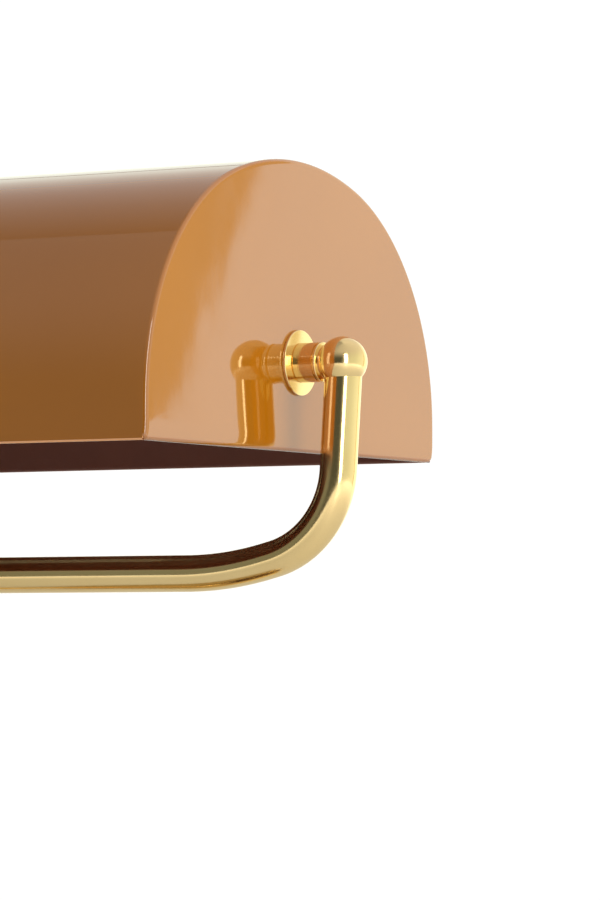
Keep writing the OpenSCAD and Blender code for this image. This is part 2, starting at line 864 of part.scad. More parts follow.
module bracket_rivets() {
    grip = cap_t + bracket_t;
    color(steel) at_rivets() {
        translate([0, 0, -rivet_head]) cylinder(h = rivet_head, r1 = rivet_r + 0.4, r2 = rivet_r + 1.4);
        cylinder(h = grip, r = rivet_r);
        translate([0, 0, grip]) cylinder(h = 1, r = rivet_r + 1);
    }
}

// ---------- lampholder ----------

module holder_nipple() {
    color(steel) collar(holder_x - bracket_t - 6, holder_x + 7, holder_nipple_r, holder_nipple_bore);
}

module holder_nut() {
    t = 3;
    color(steel) translate([holder_x - bracket_t - t, 0, pivot_z]) rotate([0, 90, 0])
        hex_nut(14, t, holder_nipple_r + seat_gap / 2);
}

module holder_dome() {
    r = holder_d / 2;
    cone_x = holder_x + dome_neck_len;
    color(bakelite) translate([0, 0, pivot_z]) rotate([0, 90, 0]) rotate_extrude() polygon([
        [holder_nipple_r + seat_gap, holder_x], [dome_neck_r, holder_x], [dome_neck_r, cone_x],
        [r, body_x], [r - dome_t, body_x], [dome_neck_r - dome_t, cone_x + dome_t],
        [dome_neck_r - dome_t, holder_x + dome_t], [holder_nipple_r + seat_gap, holder_x + dome_t]
    ]);
}

module holder_body() {
    color(bakelite) difference() {
        axle(body_x, body_x + holder_len, holder_d / 2);
        axle(body_x + body_floor, body_x + holder_len + 1, holder_d / 2 - body_wall);
        for (side = [-1, 1]) axle(body_x - 1, body_x + body_floor + 1, 1.5, pivot_z + side * 9);
    }
}

module holder_thread() {
    x0 = body_x + body_floor + 2;
    color(brass) {
        collar(x0, x0 + thread_len, thread_bore_r + thread_t, thread_bore_r);
        collar(x0 - thread_t, x0, thread_bore_r + thread_t, bulb_cap_r - 4);
    }
}

module holder_contact() {
    color(copper) {
        axle(body_x + body_floor, body_x + body_floor + contact_h - 0.6, 2);
        axle(tip_x - 0.6, tip_x, 3.2);
    }
}

module holder_lead() {
    color(bakelite) axle(-nipple_in + 0.5, body_x - 1, lead_d / 2);
}

// ---------- bulb ----------

module bulb_cap() {
    core_r = bulb_cap_r - 0.9;
    pitch = 3.6;
    color(steel) difference() {
        union() {
            axle(bulb_cap_x, bulb_cap_x + bulb_cap_len, core_r);
            translate([bulb_cap_x, 0, pivot_z]) rotate([0, -90, 0])
                cylinder(h = 2, r1 = core_r, r2 = 7);
            for (k = [1:4]) axle(bulb_cap_x + k * pitch, bulb_cap_x + k * pitch + 1.4, bulb_cap_r);
        }
        axle(bulb_cap_x - 5, bulb_cap_x + bulb_cap_len + 1, core_r - 0.4 - 5);
        axle(bulb_cap_x + 1, bulb_cap_x + bulb_cap_len + 1, core_r - 0.4);
    }
}

module bulb_contact() {
    color(copper) {
        axle(tip_x, tip_x + 1, 4.5);
        axle(tip_x + 1, bulb_cap_x, 5.5);
    }
}

// The glass envelope's profile, with its open end at the cap.
module envelope(inset) {
    r = glass_r - inset;
    neck = glass_neck_r - inset;
    end_x = bulb_len - glass_r;
    square([neck, 5]);
    polygon([[0, 5], [neck, 5], [r, shoulder_len], [0, shoulder_len]]);
    translate([0, shoulder_len]) square([r, end_x - shoulder_len]);
    translate([0, end_x]) intersection() {
        circle(r);
        square(r);
    }
}

module bulb_glass() {
    color(clear_glass) translate([glass_x, 0, pivot_z]) rotate([0, 90, 0]) difference() {
        rotate_extrude() envelope(0);
        difference() {
            rotate_extrude() envelope(glass_t);
            translate([0, 0, -1]) cylinder(h = 1 + glass_t, r = glass_r);
        }
    }
}

module bulb_mount() {
    color(clear_glass) {
        axle(glass_x + glass_t, glass_x + 4, glass_neck_r - glass_t - 3);
        axle(glass_x + 4, glass_x + mount_len, 3);
    }
}

module bulb_filament() {
    start = glass_x + mount_len;
    finish = glass_x + bulb_len - filament_gap;
    off = 5;
    color(copper) {
        translate([0, 0, off]) axle(start + 2, finish, 0.5);
        translate([0, 0, -off]) axle(start + 2, finish, 0.5);
        for (x = [start + 2, finish - 0.6])
            translate([x, 0, pivot_z - off]) cylinder(h = 2 * off, r = 0.4);
        axle(start, start + 2.4, 0.6);
    }
}

// ---------- assembly ----------

felt_pad();
base_plate();
plate_screws();
base_weight();
base_cover();
cord_inlet();
inlet_nut();
terminal_block();
terminal_screws();
switch_case();
switch_bezel();
push_button();
button_spring();
column_foot();
column_tube();
column_neck();
threaded_rod();
rod_washer();
rod_nut();
yoke_hub();
hub_set_screws();
yoke_arm_right();
yoke_arm_left();
yoke_ball_right();
yoke_ball_left();
pivot_sleeve_right();
pivot_sleeve_left();
pivot_nipple_right();
pivot_nipple_left();
outer_washers();
inner_washers();
disc_springs();
pivot_nuts();
supply_lead();
shade_shell();
end_cap_right();
end_cap_left();
pivot_bushes();
holder_bracket();
bracket_rivets();
holder_nipple();
holder_nut();
holder_dome();
holder_body();
holder_thread();
holder_contact();
holder_lead();
bulb_cap();
bulb_contact();
bulb_glass();
bulb_mount();
bulb_filament();
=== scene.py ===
"""Looks of a banker's desk lamp: caramel enamel shade, polished brass yoke, column and base.

Lengths are in metres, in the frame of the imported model: +Z up, +X along the shade, front -Y.
"""

import logging
import math
from collections.abc import Sequence
from dataclasses import dataclass, field
from enum import Enum

import bmesh
import bpy
from mathutils import Matrix, Vector


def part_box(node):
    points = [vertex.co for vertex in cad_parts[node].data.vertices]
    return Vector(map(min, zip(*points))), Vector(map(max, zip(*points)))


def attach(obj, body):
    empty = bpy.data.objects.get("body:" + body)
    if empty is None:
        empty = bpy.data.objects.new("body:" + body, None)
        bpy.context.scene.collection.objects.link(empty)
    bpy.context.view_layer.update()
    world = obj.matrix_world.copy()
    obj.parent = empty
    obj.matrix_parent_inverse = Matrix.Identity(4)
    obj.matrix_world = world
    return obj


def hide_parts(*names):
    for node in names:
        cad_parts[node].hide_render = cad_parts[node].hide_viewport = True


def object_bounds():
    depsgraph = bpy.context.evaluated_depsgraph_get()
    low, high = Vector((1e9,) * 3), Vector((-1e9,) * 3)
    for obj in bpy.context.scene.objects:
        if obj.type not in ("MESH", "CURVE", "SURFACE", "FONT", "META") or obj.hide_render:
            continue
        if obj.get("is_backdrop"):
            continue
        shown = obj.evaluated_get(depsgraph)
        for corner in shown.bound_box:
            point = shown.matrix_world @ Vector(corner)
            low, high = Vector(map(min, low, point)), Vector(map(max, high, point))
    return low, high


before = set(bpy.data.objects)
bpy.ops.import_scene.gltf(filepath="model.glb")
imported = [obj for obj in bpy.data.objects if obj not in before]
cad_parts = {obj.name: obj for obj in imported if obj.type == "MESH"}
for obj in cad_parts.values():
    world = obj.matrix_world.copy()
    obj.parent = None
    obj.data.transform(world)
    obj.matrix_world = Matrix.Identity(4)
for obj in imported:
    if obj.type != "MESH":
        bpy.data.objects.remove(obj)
CAD_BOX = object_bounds()

log = logging.getLogger("lamp")

MM = 0.001
# Length that counts as none.
TINY = 1e-7
# Angle in radians by which a corner must bend, and stay short of folding, to be rounded.
NEARLY_FLAT = 1e-4
# Share of a side that one rounding may take.
MOST_OF_HALF = 0.499
# Angle in degrees above which an edge stays sharp.
EDGE_ANGLE = 32.0
# Places of the finishes on a piece of enamelled sheet.
SKIN, INSIDE, EDGE = range(3)
# The two ends of the lamp, and the sign of X there.
ENDS = (("right", 1), ("left", -1))
CENTRE = Vector((0, 0, 0))

Point2 = tuple[float, float]
Point3 = tuple[float, float, float]
Colour = tuple[float, float, float]
Socket = bpy.types.NodeSocket
Form = bmesh.types.BMesh
Ring = list[bmesh.types.BMVert]


class Axis(Enum):
    """Direction that a turned piece is turned about."""

    ALONG_SHADE = "x"
    UPRIGHT = "z"
    BACKWARD = "y"


class Body(Enum):
    """Moving group that a piece rides on."""

    STAND = "stand"
    SHADE = "shade"
    BUTTON = "button"


class Slot(Enum):
    """Finish that a piece takes, by the name of its slot."""

    ENAMEL = "caramel_enamel"
    POLISHED_BRASS = "polished_brass"
    PLAIN_BRASS = "plain_brass"
    ZINC = "zinc_steel"
    SPRING = "spring_steel"
    IRON = "cast_iron"
    MOULDING = "black_moulding"
    SLEEVING = "lead_sleeve"
    FELT = "felt"
    BRONZE = "contact_bronze"
    NICKEL = "nickel_cap"
    GLASS = "clear_glass"
    TUNGSTEN = "tungsten"


# ---------- finishes ----------


class Nodes:
    """Nodes of one material, or of the room, joined step by step."""

    def __init__(self, tree: bpy.types.NodeTree) -> None:
        """Clears a node tree to build in.

        Args:
            tree: The tree.
        """
        self.tree = tree
        tree.nodes.clear()

    def new(self, kind: str) -> bpy.types.Node:
        """Adds a node of one kind."""
        return self.tree.nodes.new(kind)

    def feed(self, socket: Socket, value: Socket | Colour | float) -> None:
        """Joins an input to another node, or sets it to a plain colour or number.

        Args:
            socket: The input.
            value: Output of another node, colour or number.
        """
        if isinstance(value, Socket):
            self.tree.links.new(value, socket)
        else:
            socket.default_value = (*value, 1.0) if isinstance(value, tuple) else value

    def maths(self, kind: str, first: Socket | float, second: Socket | float = 0.0) -> Socket:
        """Works out one sum.

        Args:
            kind: Name of the operation.
            first: First value.
            second: Second value, where the operation takes one.

        Returns:
            The result.
        """
        node = self.new("ShaderNodeMath")
        node.operation = kind
        self.feed(node.inputs[0], first)
        self.feed(node.inputs[1], second)
        return node.outputs[0]

    def mapped(
        self, source: Socket, span: Point2, result: Point2 = (0.0, 1.0), smooth: bool = False
    ) -> Socket:
        """Maps a value from one range to another, and holds it there.

        Args:
            source: The value.
            span: Where the first range starts and ends.
            result: Where the second one starts and ends.
            smooth: Whether it eases in and out.

        Returns:
            The mapped value.
        """
        node = self.new("ShaderNodeMapRange")
        node.interpolation_type = "SMOOTHSTEP" if smooth else "LINEAR"
        names = ("From Min", "From Max", "To Min", "To Max")
        for name, value in zip(names, (*span, *result)):
            node.inputs[name].default_value = value
        self.feed(node.inputs["Value"], source)
        return node.outputs["Result"]

    def mixed(
        self, kind: str, share: Socket | float, first: Socket | Colour, second: Socket | Colour
    ) -> Socket:
        """Mixes two colours.

        Args:
            kind: Way of mixing, MIX or MULTIPLY.
            share: Share of the second colour.
            first: First colour.
            second: Second colour.

        Returns:
            The mixed colour.
        """
        node = self.new("ShaderNodeMixRGB")
        node.blend_type = kind
        for name, value in (("Fac", share), ("Color1", first), ("Color2", second)):
            self.feed(node.inputs[name], value)
        return node.outputs["Color"]


@dataclass(frozen=True)
class CrownReflectionLines:
    """Fine wavy lines along the crown: a faint dent and a matt streak, with the colour darkened on
    them as painted dark reflection lines.
    """

    below_top: float = 13.2 * MM
    fade: float = 9 * MM
    scale: float = 14.0
    waver: float = 1.1
    waver_scale: float = 1.6
    shift: float = 1.84
    stretch: Point3 = (0.25, 1.0, 1.0)
    width: float = 0.045
    depth: float = 5e-5
    # Share of the colour kept on the lines: painted dark reflection.
    shade: float = 0.4
    matt: float = 0.6


class Shader(Nodes):
    """A material being put together around one Principled shader."""

    def __init__(self, name: str) -> None:
        """Starts an empty material.

        Args:
            name: Name of the material.
        """
        self.material = bpy.data.materials.new(name)
        self.material.use_nodes = True
        super().__init__(self.material.node_tree)
        self.principled = self.new("ShaderNodeBsdfPrincipled")
        surface = self.new("ShaderNodeOutputMaterial").inputs["Surface"]
        self.feed(surface, self.principled.outputs["BSDF"])
        self.place = self.new("ShaderNodeTexCoord").outputs["Object"]

    def set(self, **values: float | Colour) -> None:
        """Sets plain numbers and colours on the shader's own sockets.

        Args:
            values: Socket names, with underscores for spaces, and their values.
        """
        for key, value in values.items():
            self.feed(self.principled.inputs[key.replace("_", " ")], value)

    def link(self, source: Socket, socket: str) -> None:
        """Feeds one of the shader's sockets from a node."""
        self.feed(self.principled.inputs[socket], source)

    def scaled(self, stretch: Point3) -> Socket:
        """Stretches the object's coordinates, for grain that runs one way.

        Args:
            stretch: Factor along X, Y and Z.

        Returns:
            The stretched coordinates.
        """
        mapping = self.new("ShaderNodeMapping")
        mapping.inputs["Scale"].default_value = stretch
        self.feed(mapping.inputs["Vector"], self.place)
        return mapping.outputs["Vector"]

    def noise(self, scale: float, detail: float = 3.0, place: Socket | None = None) -> Socket:
        """Adds a cloudy pattern.

        Args:
            scale: Cycles per metre.
            detail: Number of finer layers.
            place: Coordinates to read, or None for the object's own.

        Returns:
            The pattern, from 0 to 1.
        """
        node = self.new("ShaderNodeTexNoise")
        self.feed(node.inputs["Scale"], scale)
        self.feed(node.inputs["Detail"], detail)
        self.feed(node.inputs["Vector"], place or self.place)
        return node.outputs["Fac"]

    def cells(self, scale: float) -> Socket:
        """Adds a pattern of small cells.

        Args:
            scale: Cells per metre.

        Returns:
            Distance from the middle of the nearest cell.
        """
        node = self.new("ShaderNodeTexVoronoi")
        self.feed(node.inputs["Scale"], scale)
        self.feed(node.inputs["Vector"], self.place)
        return node.outputs["Distance"]

    def ramp(
        self, source: Socket, low: Colour, high: Colour, span: Point2 = (0.3, 0.7)
    ) -> Socket:
        """Turns a pattern into a blend of two colours.

        Args:
            source: Pattern from 0 to 1.
            low: Colour where the pattern is low.
            high: Colour where it is high.
            span: Where the blend starts and ends.

        Returns:
            The colour.
        """
        node = self.new("ShaderNodeValToRGB")
        first, last = node.color_ramp.elements
        first.position, last.position = span
        first.color, last.color = (*low, 1.0), (*high, 1.0)
        self.feed(node.inputs["Fac"], source)
        return node.outputs["Color"]

    def spread(self, source: Socket, low: float, high: float) -> Socket:
        """Maps a pattern from 0..1 to low..high."""
        return self.mapped(source, (0.0, 1.0), (low, high))

    def crown_mask(self, lines: CrownReflectionLines) -> Socket:
        """Draws the lines along the crown.

        Args:
            lines: Their sizes.

        Returns:
            0 on the lines and 1 elsewhere.
        """
        wave = self.new("ShaderNodeTexWave")
        wave.wave_type, wave.bands_direction, wave.wave_profile = "BANDS", "Y", "SAW"
        self.feed(wave.inputs["Scale"], lines.scale)
        self.feed(wave.inputs["Distortion"], lines.waver)
        self.feed(wave.inputs["Detail Scale"], lines.waver_scale)
        self.feed(wave.inputs["Phase Offset"], lines.shift)
        self.feed(wave.inputs["Vector"], self.scaled(lines.stretch))
        off_line = self.mapped(wave.outputs["Fac"], (0.0, lines.width))
        split = self.new("ShaderNodeSeparateXYZ")
        self.feed(split.inputs[0], self.place)
        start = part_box("shade_shell")[1].z - lines.below_top
        span = (start, start + lines.fade)
        off_crown = self.mapped(split.outputs["Z"], span, (1.0, 0.0), smooth=True)
        return self.maths("MAXIMUM", off_line, off_crown)

    def bump(self, height: Socket, depth: float, under: Socket | None = None) -> Socket:
        """Raises the surface by a pattern.

        Args:
            height: Pattern from 0 to 1.
            depth: Height of the pattern in metres.
            under: Normal to start from, or None.

        Returns:
            The bumped normal.
        """
        node = self.new("ShaderNodeBump")
        self.feed(node.inputs["Distance"], depth)
        self.feed(node.inputs["Height"], height)
        if under is not None:
            self.feed(node.inputs["Normal"], under)
        return node.outputs["Normal"]


@dataclass(frozen=True)
class Enamel:
    """Stoved gloss enamel: deep colour under a hard clear gloss with a faint orange peel."""

    name: str = "caramel_gloss"
    colour: Colour = (0.342, 0.111, 0.0036)
    shade: Colour = (0.322, 0.103, 0.0031)
    ior: float = 1.9
    gloss: float = 0.03
    wave: float = 5e-5
    peel: float = 6e-7
    lines: CrownReflectionLines | None = None

    def material(self) -> bpy.types.Material:
        """Mixes the enamel.

        Returns:
            The material.
        """
        s = Shader(self.name)
        cloud = s.noise(scale=14, detail=4)
        tone = s.ramp(cloud, self.shade, self.colour, (0.35, 0.65))
        matt = s.spread(s.noise(scale=420, detail=2), self.gloss * 0.6, self.gloss * 1.4)
        skin = s.bump(s.noise(scale=34, detail=1.5), self.wave)
        if self.lines:
            mask = s.crown_mask(self.lines)
            skin = s.bump(mask, self.lines.depth, skin)
            # Darkens the colour on the crown lines: painted dark reflection lines, beside the dent
            # and matt streak.
            tone = s.mixed("MULTIPLY", 1.0, tone, s.spread(mask, self.lines.shade, 1.0))
            matt = s.maths("MAXIMUM", matt, s.spread(mask, self.lines.matt, 0.0))
        s.link(matt, "Roughness")
        s.link(tone, "Base Color")
        s.link(s.bump(s.noise(scale=640, detail=2), self.peel, skin), "Normal")
        s.set(IOR=self.ior)
        return s.material


@dataclass(frozen=True)
class Brass:
    """Brass, from mirror polish to plain turned."""

    name: str = "mirror_brass"
    colour: Colour = (0.90, 0.67, 0.32)
    tarnish: Colour = (0.87, 0.63, 0.285)
    rough: float = 0.13
    grain: float = 1.0e-7
    sway: float = 12.0

    def material(self) -> bpy.types.Material:
        """Mixes the brass.

        Returns:
            The material.
        """
        s = Shader(self.name)
        cloud = s.noise(scale=55, detail=5)
        s.link(s.ramp(cloud, self.tarnish, self.colour, (0.25, 0.6)), "Base Color")
        smear = s.noise(scale=900, detail=4)
        s.link(s.spread(smear, self.rough * 0.6, self.rough * 1.5), "Roughness")
        swell = s.bump(s.noise(scale=70, detail=1), self.grain * self.sway)
        s.link(s.bump(smear, self.grain, swell), "Normal")
        s.set(Metallic=1.0)
        return s.material


@dataclass(frozen=True)
class Metal:
    """Other metals: plated, rolled, cast or drawn."""

    name: str
    colour: Colour
    dull: Colour
    rough: float
    grain: float
    scale: float = 700.0
    metallic: float = 1.0
    cloud_share: float = 0.15

    def material(self) -> bpy.types.Material:
        """Mixes the metal.

        Returns:
            The material.
        """
        s = Shader(self.name)
        cloud = s.noise(scale=self.scale * self.cloud_share, detail=5)
        s.link(s.ramp(cloud, self.dull, self.colour), "Base Color")
        speck = s.noise(self.scale, detail=5)
        s.link(s.spread(speck, self.rough * 0.7, self.rough * 1.3), "Roughness")
        s.link(s.bump(speck, self.grain), "Normal")
        s.set(Metallic=self.metallic)
        return s.material


@dataclass(frozen=True)
class Moulding:
    """Pressed phenolic or soft sleeving: dark, with faint flow marks."""

    name: str
    colour: Colour
    streak: Colour
    rough: float
    grain: float = 2e-6
    flow: Point3 = (1.0, 2.4, 0.7)
    ior: float = 1.6

    def material(self) -> bpy.types.Material:
        """Mixes the moulding.

        Returns:
            The material.
        """
        s = Shader(self.name)
        flow = s.noise(60, 6, s.scaled(self.flow))
        s.link(s.ramp(flow, self.colour, self.streak, (0.45, 0.75)), "Base Color")
        smear = s.noise(scale=500, detail=3)
        s.link(s.spread(smear, self.rough * 0.7, self.rough * 1.3), "Roughness")
        s.link(s.bump(s.noise(scale=900, detail=4), self.grain), "Normal")
        s.set(IOR=self.ior)
        return s.material


@dataclass(frozen=True)
class Felt:
    """Pressed wool felt: matted fibres, no weave."""

    name: str = "wool_felt"
    colour: Colour = (0.075, 0.035, 0.02)
    fleck: Colour = (0.16, 0.085, 0.05)
    sheen: Colour = (0.5, 0.35, 0.25)
    fibre_height: float = 2.5e-4
    tuft_height: float = 1e-4

    def material(self) -> bpy.types.Material:
        """Mixes the felt.

        Returns:
            The material.
        """
        s = Shader(self.name)
        fibres = s.noise(scale=1600, detail=8)
        s.link(s.ramp(fibres, self.colour, self.fleck), "Base Color")
        tufts = s.bump(s.cells(scale=900), self.tuft_height)
        s.link(s.bump(fibres, self.fibre_height, tufts), "Normal")
        s.set(Roughness=0.95, Sheen_Weight=0.4, Sheen_Roughness=0.6, Sheen_Tint=self.sheen)
        return s.material


@dataclass(frozen=True)
class Glass:
    """Clear blown glass with slight draw marks."""

    name: str = "blown_glass"
    thick: Colour = (0.93, 0.97, 0.97)
    thin: Colour = (0.99, 1.0, 1.0)
    draw: Point3 = (0.3, 1.0, 1.0)
    ripple: float = 6e-5

    def material(self) -> bpy.types.Material:
        """Mixes the glass.

        Returns:
            The material.
        """
        s = Shader(self.name)
        s.link(s.bump(s.noise(45, 2, s.scaled(self.draw)), self.ripple), "Normal")
        s.link(s.ramp(s.noise(scale=20, detail=2), self.thick, self.thin), "Base Color")
        s.set(Transmission_Weight=1.0, IOR=1.5, Roughness=0.0)
        return s.material


Finish = Enamel | Brass | Metal | Moulding | Felt | Glass

FINISHES: dict[Slot, Finish] = {
    Slot.ENAMEL: Enamel(),
    Slot.POLISHED_BRASS: Brass(),
    Slot.PLAIN_BRASS: Brass("turned_brass", (0.78, 0.58, 0.27), (0.6, 0.4, 0.16), 0.28, 2e-6),
    Slot.ZINC: Metal("zinc_plate", (0.66, 0.67, 0.69), (0.5, 0.51, 0.53), 0.34, 3e-6),
    Slot.SPRING: Metal("spring_wire", (0.4, 0.41, 0.43), (0.25, 0.24, 0.24), 0.3, 2e-6),
    Slot.IRON: Metal("cast_iron", (0.09, 0.09, 0.095), (0.04, 0.04, 0.04), 0.7, 9e-5, 500, 0.4),
    Slot.MOULDING: Moulding("phenolic", (0.012, 0.009, 0.007), (0.035, 0.02, 0.013), 0.22),
    Slot.SLEEVING: Moulding("sleeving", (0.03, 0.02, 0.014), (0.06, 0.04, 0.03), 0.6, 1e-5),
    Slot.FELT: Felt(),
    Slot.BRONZE: Metal("bronze_strip", (0.72, 0.4, 0.2), (0.5, 0.26, 0.12), 0.25, 2e-6),
    Slot.NICKEL: Metal("nickel_sheet", (0.74, 0.72, 0.68), (0.6, 0.58, 0.54), 0.2, 2e-6),
    Slot.GLASS: Glass(),
    Slot.TUNGSTEN: Metal("tungsten_wire", (0.2, 0.19, 0.18), (0.12, 0.11, 0.11), 0.45, 1e-6),
}
ROLLED_ENAMEL = Enamel("rolled_gloss", lines=CrownReflectionLines())
LINING = Moulding("brown_lining", (0.125, 0.028, 0.012), (0.14, 0.032, 0.014), 0.4, 2e-7)
# Lighter enamel on the rolled edges of the sheet: a painted highlight.
EDGE_HIGHLIGHT = Enamel(
    "enamel_edge", (0.75, 0.34, 0.12), (0.7, 0.3, 0.1), gloss=0.12, wave=0.0, peel=2e-6
)


class Paintbox:
    """Mixes each finish once and hands it out by name."""

    def __init__(self) -> None:
        """Starts with nothing mixed."""
        self.jars: dict[str, bpy.types.Material] = {}

    def take(self, finish: Finish) -> bpy.types.Material:
        """Gives the material of a finish, mixed on first use.

        Args:
            finish: The finish wanted.

        Returns:
            Its material.
        """
        if finish.name not in self.jars:
            self.jars[finish.name] = finish.material()
        return self.jars[finish.name]


# ---------- shaping tools ----------


def rounded(corners: Sequence[Point3], steps: int = 5) -> list[Point2]:
    """Rounds the corners of a flat outline.

    Args:
        corners: Corners as (across, along, radius). The first and last stay sharp.
        steps: Pieces in each rounding.

    Returns:
        The outline's points.
    """
    points: list[Point2] = [corners[0][:2]]
    for before, here, after in zip(corners, corners[1:], corners[2:]):
        p, a, b = (Vector(c[:2]) for c in (here, before, after))
        to_a, to_b = (a - p), (b - p)
        half = to_a.angle(to_b, math.pi) / 2
        bent = NEARLY_FLAT < half < math.pi / 2 - NEARLY_FLAT
        reach = here[2] / math.tan(half) if bent else 0.0
        reach = min(reach, MOST_OF_HALF * to_a.length, MOST_OF_HALF * to_b.length)
        if reach <= TINY:
            points.append((p.x, p.y))
            continue
        radius = reach * math.tan(half)
        middle = p + (to_a.normalized() + to_b.normalized()).normalized() * radius / math.sin(half)
        start = p + to_a.normalized() * reach - middle
        turn = start.angle_signed(p + to_b.normalized() * reach - middle)
        for k in range(steps + 1):
            spoke = start.copy()
            spoke.rotate(Matrix.Rotation(-turn * k / steps, 2))
            points.append((middle.x + spoke.x, middle.y + spoke.y))
    points.append(corners[-1][:2])
    return points


def profile(corners: Sequence[Point3], start: float = 0.0, steps: int = 5) -> list[Point2]:
    """Rounds the section of a turned piece, drawn in millimetres.

    Args:
        corners: Corners as (radius, distance along, rounding), in millimetres.
        start: Place on the axis that distances are measured from, in metres.
        steps: Pieces in each rounding.

    Returns:
        The section's points as (radius, along), in metres.
    """
    return rounded([(r * MM, start + a * MM, e * MM) for r, a, e in corners], steps)


def join(bm: Form, low: Ring, high: Ring) -> list[bmesh.types.BMFace]:
    """Joins two closed rings of the same length by a band of faces.

    Args:
        bm: Form to add to.
        low: One ring.
        high: The other.

    Returns:
        The faces, in the order of the rings' points.
    """
    count = len(low)
    faces = []
    for k in range(count):
        n = (k + 1) % count
        faces.append(bm.faces.new((low[k], low[n], high[n], high[k])))
    return faces


def new_piece(
    name: str, bm: Form, sharp: float = EDGE_ANGLE, turn_out: bool = True
) -> bpy.types.Object:
    """Makes an object from a built form, with smooth faces and sharp edges kept.

    Args:
        name: Name of the piece.
        bm: The form. It is freed.
        sharp: Angle in degrees above which an edge stays sharp.
        turn_out: Whether all faces are turned to face outwards.

    Returns:
        The new object, linked to the scene.
    """
    if turn_out:
        bmesh.ops.recalc_face_normals(bm, faces=bm.faces)
    mesh = bpy.data.meshes.new(name)
    bm.to_mesh(mesh)
    bm.free()
    smooth(mesh, sharp)
    piece = bpy.data.objects.new(name, mesh)
    bpy.context.scene.collection.objects.link(piece)
    return piece


def smooth(mesh: bpy.types.Mesh, sharp: float = EDGE_ANGLE) -> None:
    """Smooths a mesh, all but its sharp edges."""
    mesh.shade_smooth()
    mesh.set_sharp_from_angle(angle=math.radians(sharp))


def turned(
    bm: Form, outline: Sequence[Point2], centre: Vector, axis: Axis, around: int = 96
) -> None:
    """Turns an outline about an axis, as on a lathe.

    Args:
        bm: Form to add to.
        outline: Points as (radius, distance along the axis). It closes on itself unless it
            starts and ends on the axis.
        centre: Point of the axis that distances are measured from.
        axis: Direction of the axis.
        around: Number of segments round the axis.
    """
    rings: list[Ring] = []
    for radius, along in outline:
        ring = []
        for k in range(1 if radius < TINY else around):
            turn = 2 * math.pi * k / around
            a, b = radius * math.cos(turn), radius * math.sin(turn)
            offset = {
                Axis.ALONG_SHADE: (along, a, b),
                Axis.UPRIGHT: (a, b, along),
                Axis.BACKWARD: (a, along, b),
            }[axis]
            ring.append(bm.verts.new(centre + Vector(offset)))
        rings.append(ring)
    pairs = list(zip(rings, rings[1:]))
    if len(rings[0]) > 1 and len(rings[-1]) > 1:
        pairs.append((rings[-1], rings[0]))
    for low, high in pairs:
        if len(low) == len(high) == 1:
            continue
        if len(low) == len(high):
            join(bm, low, high)
            continue
        for k in range(around):
            n = (k + 1) % around
            tip = (low[0], high[n], high[k]) if len(low) == 1 else (low[k], low[n], high[0])
            bm.faces.new(tip)


def swept(bm: Form, path: Sequence[Vector], radius: float, around: int) -> None:
    """Runs a round section along a path that lies in a plane across Y, with closed ends.

    Args:
        bm: Form to add to.
        path: Points of the centreline.
        radius: Radius of the section.
        around: Number of segments round the section.
    """
    rings: list[Ring] = []
    side = Vector((0, 1, 0))
    for k, point in enumerate(path):
        ahead = path[min(k + 1, len(path) - 1)] - path[max(k - 1, 0)]
        up = ahead.normalized().cross(side).normalized()
        turns = (2 * math.pi * j / around for j in range(around))
        spokes = (radius * (math.cos(t) * side + math.sin(t) * up) for t in turns)
        rings.append([bm.verts.new(point + spoke) for spoke in spokes])
    for low, high in zip(rings, rings[1:]):
        join(bm, low, high)
    bm.faces.new(rings[0])
    bm.faces.new(rings[-1])


def arc(
    centre: Point2, radius: float, start: float, end: float, step: float = 2.0
) -> list[Point2]:
    """Draws an arc.

    Args:
        centre: Middle of the arc.
        radius: Its radius.
        start: First angle in degrees.
        end: Last angle in degrees.
        step: Largest angle between points.

    Returns:
        The points, both ends included.
    """
    count = max(1, math.ceil(abs(end - start) / step))
    angles = (math.radians(start + (end - start) * k / count) for k in range(count + 1))
    return [(centre[0] + radius * math.cos(a), centre[1] + radius * math.sin(a)) for a in angles]


def half_round(radius: float) -> list[Point2]:
    """Gives the section of a ball as (radius, along), with both ends on its axis."""
    return [(0.0, -radius), *arc((0, 0), radius, -90, 90, step=3)[1:-1], (0.0, radius)]


def mirrored(piece: bpy.types.Object, name: str) -> bpy.types.Object:
    """Copies a right-hand piece to the left end of the lamp.

    Args:
        piece: The right-hand piece.
        name: Name of the new piece.

    Returns:
        The left-hand piece.
    """
    bm = bmesh.new()
    bm.from_mesh(piece.data)
    bmesh.ops.transform(bm, matrix=Matrix.Scale(-1, 4, (1, 0, 0)), verts=bm.verts)
    copy = new_piece(name, bm)
    for material in piece.data.materials:
        copy.data.materials.append(material)
    return copy


def drilled(
    piece: bpy.types.Object, radius: float, start: Vector, axis: Axis, reach: float
) -> None:
    """Cuts a round hole through a piece.

    Args:
        piece: Piece to cut.
        radius: Radius of the hole.
        start: Where the drill starts.
        axis: Its direction.
        reach: Its length.
    """
    bm = bmesh.new()
    turned(bm, [(0, 0), (radius, 0), (radius, reach), (0, reach)], start, axis, 64)
    drill = new_piece("drill", bm)
    modifier = piece.modifiers.new("hole", "BOOLEAN")
    modifier.operation, modifier.solver, modifier.object = "DIFFERENCE", "EXACT", drill
    seen = piece.evaluated_get(bpy.context.evaluated_depsgraph_get())
    mesh = bpy.data.meshes.new_from_object(seen)
    piece.modifiers.clear()
    old, piece.data = piece.data, mesh
    mesh.name = piece.name
    bpy.data.meshes.remove(old)
    smooth(mesh)
    bpy.data.objects.remove(drill)


